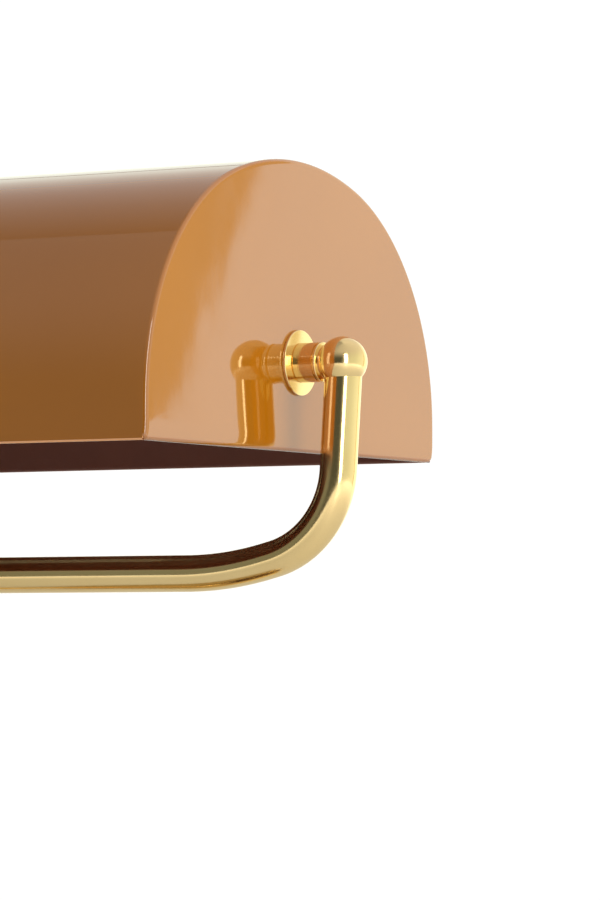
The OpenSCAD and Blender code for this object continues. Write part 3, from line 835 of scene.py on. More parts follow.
class Fitter:
    """Dresses pieces, sets them on their bodies and logs them."""

    def __init__(self, paints: Paintbox) -> None:
        """Takes the paintbox that finishes come from.

        Args:
            paints: The finishes.
        """
        self.paints = paints

    def fit(self, piece: bpy.types.Object, body: Body, slot: Slot, node: str) -> None:
        """Dresses a new piece and puts it on its body.

        Args:
            piece: The new piece.
            body: Body that it rides on.
            slot: Slot that it takes its finish from.
            node: Frame piece that it stands for.
        """
        if not piece.data.materials:
            piece.data.materials.append(self.paints.take(FINISHES[slot]))
        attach(piece, body.value)
        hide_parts(node)
        log.info("%s on %s, %s", piece.name, body.value, slot.value)

    def dress(self, slot: Slot, *names: str) -> None:
        """Gives frame pieces that stay in view their finish.

        Args:
            slot: Slot that they take their finish from.
            names: Their names.
        """
        for name in names:
            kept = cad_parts[name]
            kept.data.materials.clear()
            kept.data.materials.append(self.paints.take(FINISHES[slot]))
            log.info("%s kept, %s", name, slot.value)

    def turn(
        self,
        name: str,
        node: str,
        outline: Sequence[Point2],
        centre: Vector = CENTRE,
        axis: Axis = Axis.UPRIGHT,
        body: Body = Body.STAND,
        slot: Slot = Slot.POLISHED_BRASS,
        around: int = 96,
    ) -> None:
        """Makes one turned piece and fits it.

        Args:
            name: Name of the piece.
            node: Frame piece that it stands for.
            outline: Points as (radius, distance along the axis).
            centre: Point that distances are measured from.
            axis: Direction of the axis.
            body: Body that it rides on.
            slot: Slot that it takes its finish from.
            around: Number of segments round the axis.
        """
        bm = bmesh.new()
        turned(bm, outline, centre, axis, around)
        self.fit(new_piece(name, bm), body, slot, node)


# ---------- shade ----------


@dataclass
class Shade:
    """Rolled shade with two flat end caps and its lampholder bracket."""

    fitter: Fitter
    depth: float = 156 * MM
    skirt: float = 10 * MM
    side_r: float = 66 * MM
    crown_half: float = 18.0
    sheet: float = 1 * MM
    rows: int = 60
    skirt_rows: tuple[float, ...] = (0, 0.03, 0.1, 0.3, 0.6, 0.85)
    cap: float = 1.2 * MM
    rim_roll: float = 1.0 * MM
    rim_rows: tuple[float, ...] = (0.5 * MM, 1.2 * MM, 2 * MM, 3 * MM, 4 * MM, 5 * MM)
    face_rows: tuple[float, ...] = (0.75, 0.5, 0.28, 0.12, 0.0)
    back_rows: tuple[float, ...] = (0.0, 0.12, 0.5)
    skirt_steps: int = 6
    bottom_steps: int = 56
    corner_r: float = 1.6 * MM
    least_corner_r: float = 0.2 * MM
    hole_r: float = 4.55 * MM
    lip: float = 6 * MM
    lip_depth: float = 0.55 * MM
    lip_curve: float = 2.5
    edge_z: float = field(init=False)
    cap_out: float = field(init=False)
    axis_z: float = field(init=False)

    def __post_init__(self) -> None:
        """Reads the shade's place from the frame."""
        low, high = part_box("end_cap_right")
        self.edge_z, self.cap_out = low.z, high.x
        self.axis_z = sum(corner.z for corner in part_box("outer_washers")) / 2

    def arch(self, inset: float, step: float = 1.5) -> list[Point2]:
        """Outline of the shade, from the front skirt over the crown to the back.

        Args:
            inset: Distance inside the outer face.
            step: Largest angle between points, in degrees.

        Returns:
            Points as (y, z), z measured from the lower edge.
        """
        side_y = self.depth / 2 - self.side_r
        half = math.radians(self.crown_half)
        crown_r = self.side_r + side_y / math.sin(half)
        crown_z = self.skirt - side_y / math.tan(half)
        meet = 90 - self.crown_half
        back = arc((side_y, self.skirt), self.side_r - inset, 0, meet, step)
        crown = arc((0, crown_z), crown_r - inset, meet, 180 - meet, step)
        front = arc((-side_y, self.skirt), self.side_r - inset, 180 - meet, 180, step)
        return [(-y, z) for y, z in back + crown[1:-1] + front]

    def build_shell(self) -> None:
        """Rolls the sheet along the shade, caramel outside, brown inside, with its edges lighter as
        a painted highlight.
        """
        r = self.sheet / 2
        heights = [r + (self.skirt - r) * share for share in self.skirt_rows]
        outer, inner = self.arch(0), self.arch(self.sheet)
        for face in (outer, inner):
            side = face[-1][0]
            face[:0] = [(-side, z) for z in heights]
            face.extend((side, z) for z in reversed(heights))
        edge_y = self.depth / 2 - r
        front, back = (arc((y, r), r, 180, 360, 22.5)[1:-1] for y in (-edge_y, edge_y))
        section = outer + back[::-1] + inner[::-1] + front[::-1]
        half = self.cap_out - self.cap
        bm = bmesh.new()
        rings: list[Ring] = []
        for k in range(self.rows + 1):
            x = -half + 2 * half * k / self.rows
            rings.append([bm.verts.new((x, y, self.edge_z + z)) for y, z in section])
        inner_from = len(outer) + len(back)
        inner_to = inner_from + len(inner) - 1
        # Edge faces take the lighter edge finish, a painted highlight.
        finishes = [EDGE] * len(section)
        finishes[: len(outer) - 1] = [SKIN] * (len(outer) - 1)
        lining_from = inner_from - len(back) // 2
        finishes[lining_from:inner_to] = [INSIDE] * (inner_to - lining_from)
        for low, high in zip(rings, rings[1:]):
            for band, finish in zip(join(bm, low, high), finishes):
                band.material_index = finish
        for ring in (rings[0], rings[-1]):
            for j in range(len(outer) - 1):
                corners = [ring[k] for k in (j, j + 1, inner_to - j - 1, inner_to - j)]
                bm.faces.new(corners).material_index = EDGE
        bmesh.ops.remove_doubles(bm, verts=bm.verts, dist=TINY)
        shell = new_piece("shade_skin", bm, 50)
        for finish in (ROLLED_ENAMEL, LINING, EDGE_HIGHLIGHT):
            shell.data.materials.append(self.fitter.paints.take(finish))
        self.fitter.fit(shell, Body.SHADE, Slot.ENAMEL, "shade_shell")

    def cap_loop(self, inset: float) -> list[Point2]:
        """Closed outline of an end cap, from its front skirt over the crown and back below.

        Args:
            inset: Distance inside the cap's edge.

        Returns:
            Points as (y, z), z measured from the lower edge.
        """
        r = max(self.least_corner_r, self.corner_r - inset)
        side_y = self.depth / 2 - inset
        bend_y, bend_z = side_y - r, inset + r
        steps, count = self.skirt_steps, self.bottom_steps
        straight = self.skirt - bend_z
        drop = [(side_y, bend_z + straight * k / steps) for k in range(steps - 1, 0, -1)]
        corner = arc((bend_y, bend_z), r, 0, -90, 15)
        bottom = [(bend_y * (1 - 2 * k / count), inset) for k in range(1, count)]
        rise = [(-y, z) for y, z in reversed(drop + corner)]
        return self.arch(inset, 2.0) + drop + corner + bottom + rise

    def bend_in(self, height: float) -> float:
        """Gives how far an end cap's face leans in at a height above its lower edge."""
        return self.lip_depth * max(0.0, 1 - height / self.lip) ** self.lip_curve

    def drawn_ring(self, bm: Form, loop: list[Point2], x: float, share: float) -> Ring:
        """Draws an outline of the cap in towards the hole for the pivot.

        Args:
            bm: Form to add to.
            loop: The outline.
            x: Place along the shade.
            share: How far it is from the hole, 0, to the outline, 1.

        Returns:
            The new ring.
        """
        ring = []
        for y, z in loop:
            spoke = Vector((y, z - (self.axis_z - self.edge_z)))
            spoke = spoke.normalized() * (self.hole_r + (spoke.length - self.hole_r) * share)
            ring.append(bm.verts.new((x, spoke.x, self.axis_z + spoke.y)))
        return ring

    def build_cap(self) -> bpy.types.Object:
        """Presses the right end cap: flat face, rolled rim and a hole for the pivot.

        Returns:
            The cap, with its finishes.
        """
        back_x = self.cap_out - self.cap
        rim: list[Point2] = [(0.0, back_x)]
        for turn in (math.radians(angle) for angle in range(0, 91, 15)):
            behind = self.rim_roll * (1 - math.sin(turn))
            rim.append((self.rim_roll * (1 - math.cos(turn)), self.cap_out - behind))
        rim += [(self.rim_roll + step, self.cap_out) for step in self.rim_rows]
        bm = bmesh.new()
        rings: list[Ring] = []
        for inset, x in rim:
            ring = []
            for y, z in self.cap_loop(inset):
                lean = self.bend_in(z) if x > back_x else 0.0
                ring.append(bm.verts.new((x - lean, y, self.edge_z + z)))
            rings.append(ring)
        face = self.cap_loop(rim[-1][0])
        rings += [self.drawn_ring(bm, face, self.cap_out, share) for share in self.face_rows]
        inside_from = len(rings)
        back = self.cap_loop(0.0)
        rings += [self.drawn_ring(bm, back, back_x, share) for share in self.back_rows]
        rings.append(rings[0])
        for level, (low, high) in enumerate(zip(rings, rings[1:])):
            for band in join(bm, low, high):
                band.material_index = INSIDE if level >= inside_from else SKIN
        piece = new_piece("end_plate_right", bm, 40)
        for finish in (FINISHES[Slot.ENAMEL], LINING):
            piece.data.materials.append(self.fitter.paints.take(finish))
        return piece

    def build(self) -> None:
        """Builds the shell and both end caps, and dresses what stays from the frame."""
        self.build_shell()
        right = self.build_cap()
        left = mirrored(right, "end_plate_left")
        self.fitter.fit(right, Body.SHADE, Slot.ENAMEL, "end_cap_right")
        self.fitter.fit(left, Body.SHADE, Slot.ENAMEL, "end_cap_left")
        self.fitter.dress(Slot.PLAIN_BRASS, "pivot_bushes", "inner_washers", "pivot_nuts")
        bracket = ("holder_bracket", "bracket_rivets", "holder_nipple", "holder_nut")
        self.fitter.dress(Slot.ZINC, *bracket)


# ---------- pivots and yoke ----------


@dataclass
class Pivots:
    """Polished washers, sleeves and balls at the two ends of the tilt axis."""

    fitter: Fitter
    washer_r: float = 8.8 * MM
    washer_t: float = 0.9 * MM
    washer_edge: float = 0.22 * MM
    bore: float = 3.05 * MM
    sleeve_r: float = 5.3 * MM
    chamfer: float = 0.25 * MM
    chamfer_r: float = 0.3 * MM
    skim: float = 0.004 * MM
    ripples: tuple[Point3, ...] = ((0.0022 * MM, 37, 0), (0.0016 * MM, 83, 1))
    ripple_steps: int = 90
    neck_r: float = 4.85 * MM
    hollow: float = 0.28 * MM
    groove: float = 0.35 * MM
    groove_w: float = 0.3 * MM
    groove_lip: float = 0.05 * MM
    ring_at: float = 6.1 * MM
    ring_w: float = 0.8 * MM
    ring_h: float = 0.08 * MM
    ring_edge: float = 0.25 * MM
    sink: float = 0.1 * MM
    spigot: float = 1.2 * MM
    ball_r: float = 6.2 * MM
    fullness: float = 0.4 * MM

    def build(self) -> None:
        """Turns the fittings for the right end and repeats them at the left."""
        low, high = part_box("outer_washers")
        face_x, axis_z = high.x - self.washer_t, (low.z + high.z) / 2
        ball_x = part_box("yoke_ball_right")[1].x - self.ball_r
        edge = self.washer_edge
        rim = [(self.washer_r, 0, edge), (self.washer_r, self.washer_t, edge)]
        washer = rounded([(self.bore, 0, 0), *rim, (self.bore, self.washer_t, 0)], 4)
        washers = bmesh.new()
        for _, sign in ENDS:
            flat = [(r, sign * a) for r, a in washer]
            turned(washers, flat, Vector((sign * face_x, 0, axis_z)), Axis.ALONG_SHADE, 128)
        pair = new_piece("cap_washers", washers)
        self.fitter.fit(pair, Body.STAND, Slot.POLISHED_BRASS, "outer_washers")
        sleeve = self.sleeve_outline(ball_x - face_x)
        ball = half_round(self.ball_r + self.fullness)
        for side, sign in ENDS:
            self.fitter.turn(
                f"turned_sleeve_{side}", f"pivot_sleeve_{side}", [(r, sign * a) for r, a in sleeve],
                Vector((sign * face_x, 0, axis_z)), Axis.ALONG_SHADE, around=128,
            )
            middle = Vector((sign * (ball_x - self.fullness), 0, axis_z))
            self.fitter.turn(
                f"polished_ball_{side}", f"yoke_ball_{side}", ball, middle, around=120
            )
        self.fitter.dress(Slot.PLAIN_BRASS, "pivot_nipple_right", "pivot_nipple_left")
        self.fitter.dress(Slot.SPRING, "disc_springs")

    def sleeve_outline(self, gap: float) -> list[Point2]:
        """Section of a sleeve: chamfer, barrel with faint tool marks, groove, ring and neck.

        Args:
            gap: Distance from the cap's face to the middle of the ball.

        Returns:
            Points as (radius, distance from the cap's face).
        """
        start = self.washer_t
        ring = start + self.ring_at
        ring_end = ring + self.ring_w
        barrel_from, barrel_to = start + self.chamfer, ring - self.groove_w
        points = [(self.bore, start), (self.sleeve_r - self.chamfer_r, start)]
        for k in range(self.ripple_steps + 1):
            share = k / self.ripple_steps
            marks = (high * math.sin(waves * share + by) for high, waves, by in self.ripples)
            along = barrel_from + (barrel_to - barrel_from) * share
            points.append((self.sleeve_r - self.skim + sum(marks), along))
        groove_r, top = self.sleeve_r - self.groove, self.sleeve_r + self.ring_h
        points += [(groove_r, barrel_to + self.groove_lip), (groove_r, ring)]
        edge = self.ring_edge
        hip = (self.neck_r - edge, ring_end, 0)
        points += rounded([(groove_r, ring, 0), (top, ring, edge), (top, ring_end, edge), hip])[1:]
        reach = gap - math.sqrt(self.ball_r**2 - self.neck_r**2) + self.sink
        points += [(self.neck_r - self.hollow, (ring_end + reach) / 2), (self.neck_r, reach)]
        points.append((self.bore, reach + self.spigot))
        return points


@dataclass
class Yoke:
    """The two bent arms and the hub that holds them."""

    fitter: Fitter
    drop: float = 55.8 * MM
    tube_r: float = 5 * MM
    lean: float = 3.5
    bend_r: float = 26 * MM
    tail_r: float = 100 * MM
    tail_turn: float = 14.5
    link: float = 2 * MM
    start: float = 6 * MM
    ball_r: float = 6.2 * MM
    into_ball: float = 3.4 * MM
    bar_steps: int = 24
    rise_steps: int = 10
    hub_ball_r: float = 14 * MM
    hub_r: float = 9 * MM
    hub_len: float = 40 * MM
    hub_edge: float = 0.8 * MM
    stub: float = 16 * MM
    stub_edge: float = 0.5 * MM

    def centreline(self) -> list[Vector]:
        """Runs the right arm's centreline from the hub out and up to the ball.

        Returns:
            Its points.
        """
        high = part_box("yoke_ball_right")[1]
        ball_x, pivot_z = high.x - self.ball_r, high.z - self.ball_r
        bar_z = pivot_z - self.drop
        turn, end = math.radians(self.tail_turn), math.radians(90 - self.lean)
        tail_rise = self.tail_r * (1 - math.cos(turn))
        link_rise = self.link * math.sin(turn)
        bend_rise = self.bend_r * (math.cos(turn) - math.cos(end))
        upright = (self.drop - tail_rise - link_rise - bend_rise) / math.sin(end)
        bend_x = ball_x - upright * math.cos(end) - self.bend_r * math.sin(end)
        bend_z = bar_z + tail_rise + link_rise + self.bend_r * math.cos(turn)
        link_x = bend_x + self.bend_r * math.sin(turn) - self.link * math.cos(turn)
        tail_x = link_x - self.tail_r * math.sin(turn)
        steps = self.bar_steps
        bar = [(self.start + (tail_x - self.start) * k / steps, bar_z) for k in range(steps)]
        tail = arc((tail_x, bar_z + self.tail_r), self.tail_r, -90, -90 + self.tail_turn, 0.8)
        bend = arc((bend_x, bend_z), self.bend_r, -90 + self.tail_turn, -self.lean, 1.5)
        top_x = ball_x - self.into_ball * math.cos(end)
        top_z = pivot_z - self.into_ball * math.sin(end)
        foot_x, foot_z = bend[-1]
        rise = []
        for k in range(1, self.rise_steps + 1):
            share = k / self.rise_steps
            rise.append((foot_x + (top_x - foot_x) * share, foot_z + (top_z - foot_z) * share))
        return [Vector((x, 0, z)) for x, z in bar + tail + bend + rise]

    def build(self) -> None:
        """Bends both arms and turns the hub."""
        path = self.centreline()
        for side, sign in ENDS:
            bm = bmesh.new()
            swept(bm, [Vector((sign * p.x, p.y, p.z)) for p in path], self.tube_r, 64)
            arm = new_piece(f"bent_arm_{side}", bm)
            self.fitter.fit(arm, Body.STAND, Slot.POLISHED_BRASS, f"yoke_arm_{side}")
        bar = Vector((0, 0, path[0].z))
        half, r = self.hub_len / 2, self.hub_r
        cross = [(0, -half, 0), (r, -half, self.hub_edge), (r, half, self.hub_edge), (0, half, 0)]
        stub = [(0, -self.stub, 0), (r, -self.stub, self.stub_edge), (r, 0, 0), (0, 0, 0)]
        hub = bmesh.new()
        turned(hub, half_round(self.hub_ball_r), bar, Axis.UPRIGHT, 120)
        turned(hub, rounded(cross), bar, Axis.ALONG_SHADE)
        turned(hub, rounded(stub), bar, Axis.UPRIGHT)
        boss = new_piece("yoke_boss", hub)
        self.fitter.fit(boss, Body.STAND, Slot.POLISHED_BRASS, "yoke_hub")
        self.fitter.dress(Slot.ZINC, "hub_set_screws", "threaded_rod", "rod_washer", "rod_nut")
        self.fitter.dress(Slot.SLEEVING, "supply_lead")


# ---------- column, base and switch ----------


@dataclass
class Column:
    """Column tube between its turned foot and neck."""

    fitter: Fitter
    tube_r: float = 8 * MM
    tube_bore: float = 6.8 * MM

    def build(self) -> None:
        """Turns the neck, tube and foot.

        The neck is a flange, a waist and a collar. The foot is a flange, a cove, a shaft and
        the cup that the tube stands in.
        """
        low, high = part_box("column_neck")
        r, top = high.x / MM, (high.z - low.z) / MM
        neck = profile(
            [
                (5.2, 0, 0), (r, 0, 0.6), (r, 3, 0.9), (r - 1.4, 3.4, 0.3), (8.6, 6.2, 3),
                (9, top, 0.2), (5.2, top, 0),
            ],
            low.z,
        )
        self.fitter.turn("turned_neck", "column_neck", neck)
        low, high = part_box("column_tube")
        tube = [(self.tube_bore, low.z), (self.tube_r, low.z)]
        tube += [(self.tube_r, high.z), (self.tube_bore, high.z)]
        self.fitter.turn("column_pipe", "column_tube", tube)
        low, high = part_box("column_foot")
        r, top = high.x / MM, (high.z - low.z) / MM
        foot = profile(
            [
                (5.2, 0, 0), (r, 0, 0.4), (r, 3, 1.2), (r - 3.2, 3.3, 0.4), (13.2, 5.4, 3),
                (10.2, 12, 2), (10.2, 14.8, 0.3), (11.7, 15, 0.7), (11.7, top - 0.1, 1.2),
                (8.1, top, 0.2), (8.1, 12.2, 0), (5.2, 12, 0),
            ],
            low.z,
        )
        self.fitter.turn("turned_foot", "column_foot", foot)


@dataclass
class Base:
    """Spun brass cover over a cast weight, on a felt pad, with the cord's inlet."""

    fitter: Fitter
    foot_r: float = 95 * MM
    foot_z: float = 16 * MM
    step_r: float = 82 * MM
    step_z: float = 23 * MM
    boss_r: float = 26 * MM
    boss_z: float = 28 * MM
    bore: float = 5.2 * MM
    bend: float = 3 * MM
    sheet: float = 1.2 * MM
    felt_z: float = 2 * MM
    fray: float = 0.12 * MM
    inlet_z: float = 8 * MM
    inlet_hole_r: float = 4.3 * MM
    switch_hole_r: float = 7.15 * MM

    def spin_cover(self) -> None:
        """Spins the cover and cuts the holes for the switch and the cord."""
        t, r = self.sheet, self.bend
        crease = 0.4 * MM
        outer = [
            (self.foot_r, self.felt_z, 0), (self.foot_r, self.foot_z, r),
            (self.step_r + 0.6 * MM, self.foot_z, 0.5 * MM),
            (self.step_r, self.foot_z + 0.6 * MM, crease), (self.step_r, self.step_z, r),
            (self.boss_r + 0.5 * MM, self.step_z, crease),
            (self.boss_r, self.step_z + 0.5 * MM, crease),
            (self.boss_r, self.boss_z, 1.6 * MM), (self.bore, self.boss_z, 0),
        ]
        inner = [
            (self.bore, self.boss_z - t, 0), (self.boss_r - t, self.boss_z - t, 0.5 * MM),
            (self.boss_r - t, self.step_z - t, 0), (self.step_r - t, self.step_z - t, r - t),
            (self.step_r - t, self.foot_z - t, 0), (self.foot_r - t, self.foot_z - t, r - t),
            (self.foot_r - t, self.felt_z, 0),
        ]
        bm = bmesh.new()
        turned(bm, rounded(outer, 10) + rounded(inner, 6), CENTRE, Axis.UPRIGHT, 256)
        cover = new_piece("spun_cover", bm)
        switch_y = sum(corner.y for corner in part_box("push_button")) / 2
        switch_at = Vector((0, switch_y, 15 * MM))
        drilled(cover, self.switch_hole_r, switch_at, Axis.UPRIGHT, 20 * MM)
        inlet_at = Vector((0, self.foot_r - 10 * MM, self.inlet_z))
        drilled(cover, self.inlet_hole_r, inlet_at, Axis.BACKWARD, 20 * MM)
        self.fitter.fit(cover, Body.STAND, Slot.POLISHED_BRASS, "base_cover")

    def cut_felt(self) -> None:
        """Cuts the felt pad, with a soft, slightly uneven edge."""
        low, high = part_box("felt_pad")
        r = high.x
        outline = [
            (0, low.z, 0), (r / 2, low.z, 0), (r, low.z, 0.7 * MM), (r, high.z, 0.5 * MM),
            (r / 2, high.z, 0), (0, high.z, 0),
        ]
        bm = bmesh.new()
        turned(bm, rounded(outline, 4), CENTRE, Axis.UPRIGHT, 360)
        for vert in bm.verts:
            flat = Vector((vert.co.x, vert.co.y))
            if flat.length > r * 0.9:
                turn = math.atan2(flat.y, flat.x)
                fray = self.fray * (math.sin(47 * turn) + math.sin(113 * turn + 2) - 2)
                vert.co.xy = flat.normalized() * (flat.length + fray)
        self.fitter.fit(new_piece("felt_sole", bm), Body.STAND, Slot.FELT, "felt_pad")

    def build(self) -> None:
        """Builds the cover, the felt and the inlet, and dresses what is inside."""
        self.spin_cover()
        self.cut_felt()
        low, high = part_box("cord_inlet")
        wall, end = (self.foot_r - low.y) / MM, (high.y - low.y) / MM
        bush = profile(
            [
                (3.2, 0, 0), (4.2, 0, 0.2), (4.2, wall, 0), (5.6, wall, 0.2), (5.6, end, 0.8),
                (3.2, end, 0.6), (3.2, end - 1, 0),
            ],
            low.y,
        )
        self.fitter.turn(
            "inlet_bush", "cord_inlet", bush, Vector((0, 0, self.inlet_z)), Axis.BACKWARD,
            slot=Slot.MOULDING,
        )
        self.fitter.dress(Slot.ZINC, "base_plate", "plate_screws", "inlet_nut")
        self.fitter.dress(Slot.IRON, "base_weight")
        self.fitter.dress(Slot.MOULDING, "terminal_block")
        self.fitter.dress(Slot.PLAIN_BRASS, "terminal_screws")


@dataclass
class Switch:
    """Push switch in the base: bezel, button and what is under them."""

    fitter: Fitter

    def build(self) -> None:
        """Turns the bezel and the button."""
        low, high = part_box("switch_bezel")
        at = Vector((0, (low.y + high.y) / 2, 0))
        flange, top = high.x / MM, (high.z - low.z) / MM
        seat = top - 1.6
        bezel = profile(
            [
                (5.55, 0, 0), (7.05, 0, 0.2), (7.05, seat, 0), (flange, seat, 0.1),
                (flange, top - 0.7, 0.6), (flange - 1.3, top, 0.6), (5.55, top, 0.35),
                (5.55, top - 1, 0),
            ],
            low.z,
        )
        self.fitter.turn("turned_bezel", "switch_bezel", bezel, at)
        low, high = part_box("push_button")
        top = (high.z - low.z) / MM
        button = profile(
            [
                (0, 12.9, 0), (3.5, 12.9, 0), (3.5, 0, 0), (6.7, 0, 0.2), (6.7, 1.4, 0),
                (5.5, 1.4, 0), (5.5, top - 0.25, 1.1), (3.6, top - 0.02, 4), (0, top, 0),
            ],
            low.z,
        )
        self.fitter.turn("dished_button", "push_button", button, at, body=Body.BUTTON)
        self.fitter.dress(Slot.MOULDING, "switch_case")
        self.fitter.dress(Slot.SPRING, "button_spring")


# ---------- lampholder and bulb ----------


@dataclass
class Lampholder:
    """Moulded lampholder on the tilt axis, with its screw sleeve and contact."""

    fitter: Fitter
    ribs: int = 6
    ribs_from: float = 3.0
    ribs_to: float = 12.0
    rib_depth: float = 0.5

    def build(self) -> None:
        """Turns the dome and the ribbed body, and dresses the inner parts."""
        low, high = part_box("holder_dome")
        at = Vector((0, 0, (low.z + high.z) / 2))
        r, end = (high.z - low.z) / 2 / MM, (high.x - low.x) / MM
        dome = profile(
            [
                (5.1, 0, 0), (11, 0, 0.5), (11, 4, 2), (r, end - 0.4, 3), (r, end, 0),
                (r - 1.5, end, 0), (9.5, 5.5, 0), (9.5, 1.5, 0), (5.1, 1.5, 0),
            ],
            low.x,
        )
        self.turn("moulded_dome", "holder_dome", dome, at)
        low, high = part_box("holder_body")
        self.turn("moulded_body", "holder_body", self.body_outline(low.x, high.x, r), at)
        self.fitter.dress(Slot.PLAIN_BRASS, "holder_thread")
        self.fitter.dress(Slot.BRONZE, "holder_contact")
        self.fitter.dress(Slot.SLEEVING, "holder_lead")

    def turn(self, name: str, node: str, outline: list[Point2], at: Vector) -> None:
        """Turns one moulded piece along the shade's axis."""
        self.fitter.turn(name, node, outline, at, Axis.ALONG_SHADE, Body.SHADE, Slot.MOULDING)

    def body_outline(self, start: float, end: float, r: float) -> list[Point2]:
        """Section of the body: a closed cup with finger ribs round it.

        Args:
            start: Where it starts along the shade, in metres.
            end: Where it ends, in metres.
            r: Its radius, in millimetres.

        Returns:
            Points as (radius, along), in metres.
        """
        top = (end - start) / MM
        pitch = (self.ribs_to - self.ribs_from) / self.ribs
        low_r = r - self.rib_depth
        ribs: list[Point3] = []
        for k in range(self.ribs):
            rib = self.ribs_from + k * pitch
            ribs.append((r, rib, 0.2))
            ribs += [(low_r, rib + share * pitch, 0.2) for share in (0.35, 0.6)]
        return profile(
            [
                (0, 0, 0), (r, 0, 0.5), *ribs, (r, self.ribs_to, 0.2), (r, top, 1.2),
                (r - 3.4, top, 0.8), (r - 3.4, 4, 0), (0, 4, 0),
            ],
            start,
            4,
        )


@dataclass
class Bulb:
    """Clear tubular bulb: rolled cap, glass, mount and filament."""

    fitter: Fitter
    glass_t: float = 0.8 * MM
    shoulder: float = 14 * MM
    neck: float = 5 * MM
    blend: float = 8 * MM
    cap_gap: float = 1.4 * MM
    around: int = 96
    threads: int = 4
    thread_pitch: float = 3.6
    thread_h: float = 0.45
    thread_steps: int = 14
    wire_gap: float = 0.5 * MM
    stem_r: float = 0.55 * MM
    support_r: float = 0.3 * MM
    wire_r: float = 0.12 * MM
    zigzags: int = 9

    def build(self) -> None:
        """Blows the glass, rolls the cap and strings the filament."""
        low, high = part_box("bulb_glass")
        at = Vector((0, 0, (low.z + high.z) / 2))
        self.blow_glass(at)
        self.roll_cap(at)
        self.string_filament(at)
        self.fitter.dress(Slot.GLASS, "bulb_mount")
        self.fitter.dress(Slot.BRONZE, "bulb_contact")

    def wall(self, inset: float, neck_r: float) -> list[Point2]:
        """Outline of one face of the glass, closed at both ends.

        Args:
            inset: Distance inside the outer face.
            neck_r: Radius of the outer face at the neck.

        Returns:
            Points as (radius, along), from the closed neck to the tip.
        """
        low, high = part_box("bulb_glass")
        start, end, r = low.x, high.x, (high.z - low.z) / 2
        shoulder = rounded(
            [
                (neck_r - inset, start + inset, 0), (neck_r - inset, start + self.neck, self.blend),
                (r - inset, start + self.shoulder, self.blend), (r - inset, end - r, 0),
            ],
            8,
        )
        tip = [(a, x) for x, a in arc((end - r, 0), r - inset, 90, 0, 4)]
        floor = [(0.0, start + inset), (neck_r * 0.5, start + inset)]
        return floor + shoulder + tip[1:-1] + [(0.0, end - inset)]

    def blow_glass(self, at: Vector) -> None:
        """Blows the envelope, an outer and an inner face.

        Args:
            at: Point on the axis.
        """
        neck_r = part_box("bulb_cap")[1].z - at.z - self.cap_gap
        bm = bmesh.new()
        turned(bm, self.wall(0.0, neck_r), at, Axis.ALONG_SHADE, self.around)
        outer_faces = len(bm.faces)
        turned(bm, self.wall(self.glass_t, neck_r), at, Axis.ALONG_SHADE, self.around)
        bmesh.ops.recalc_face_normals(bm, faces=bm.faces)
        bm.faces.ensure_lookup_table()
        bmesh.ops.reverse_faces(bm, faces=bm.faces[outer_faces:])
        glass = new_piece("bulb_tube", bm, 40, turn_out=False)
        self.fitter.fit(glass, Body.SHADE, Slot.GLASS, "bulb_glass")

    def roll_cap(self, at: Vector) -> None:
        """Rolls the screw cap with its round thread.

        Args:
            at: Point on the axis.
        """
        low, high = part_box("bulb_cap")
        r, end = (high.z - at.z) / MM, (high.x - low.x) / MM
        wall_r = r - 0.9
        outline = [(5.8, 0), (7, 0), (r - 1.6, 2)]
        for k in range(self.threads * self.thread_steps + 1):
            turns = k / self.thread_steps
            swing = math.cos(2 * math.pi * turns)
            outline.append((wall_r - self.thread_h * swing, 4 + self.thread_pitch * turns))
        outline += [(wall_r, end - 3), (wall_r, end), (r - 1.3, end), (r - 1.8, 2.6), (5.8, 0.6)]
        self.fitter.turn(
            "rolled_cap", "bulb_cap", [(a * MM, low.x + b * MM) for a, b in outline], at,
            Axis.ALONG_SHADE, Body.SHADE, Slot.NICKEL,
        )

    def string_filament(self, at: Vector) -> None:
        """Strings the long filament between its two supports.

        Args:
            at: Point on the axis.
        """
        low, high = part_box("bulb_filament")
        start, end, off = low.x, high.x, high.z - at.z - self.wire_gap
        bm = bmesh.new()

        def wire(points: Sequence[Point2], radius: float, around: int) -> None:
            """Runs one wire through points given as (along, height above the axis)."""
            swept(bm, [Vector((x, 0, at.z + z)) for x, z in points], radius, around)

        wire([(start, 0), (start + 2 * MM, 0)], self.stem_r, 12)
        for sign in (1, -1):
            bent = [(start + 1.5 * MM, 0), (start + 3 * MM, sign * off * 0.6)]
            bent += [(start + 6 * MM, sign * off), (end - 0.5 * MM, sign * off)]
            wire(bent, self.support_r, 10)
        zigzag = []
        for k in range(self.zigzags + 1):
            x = start + 8 * MM + (end - start - 10 * MM) * k / self.zigzags
            zigzag.append((x, off if k % 2 else -off))
        wire(zigzag, self.wire_r, 8)
        wires = new_piece("filament_wires", bm)
        self.fitter.fit(wires, Body.SHADE, Slot.TUNGSTEN, "bulb_filament")


# ---------- studio ----------


@dataclass(frozen=True)
class Tone:
    """Brightness of the room in one direction round the lamp, in degrees from +X."""

    turn: float
    level: float


@dataclass(frozen=True)
class SoftLight:
    """One soft light that faces the shade. Angles are in degrees, its height above level."""

    name: str
    turn: float
    rise: float
    far: float
    size: Point2
    power: float
    seen: bool = True


def direction(turn: float, rise: float) -> Vector:
    """Points somewhere, by angles in degrees.

    Args:
        turn: Angle round the lamp from +X.
        rise: Angle above level.

    Returns:
        A vector of length 1.
    """
    a, e = math.radians(turn), math.radians(rise)
    return Vector((math.cos(a) * math.cos(e), math.sin(a) * math.cos(e), math.sin(e)))


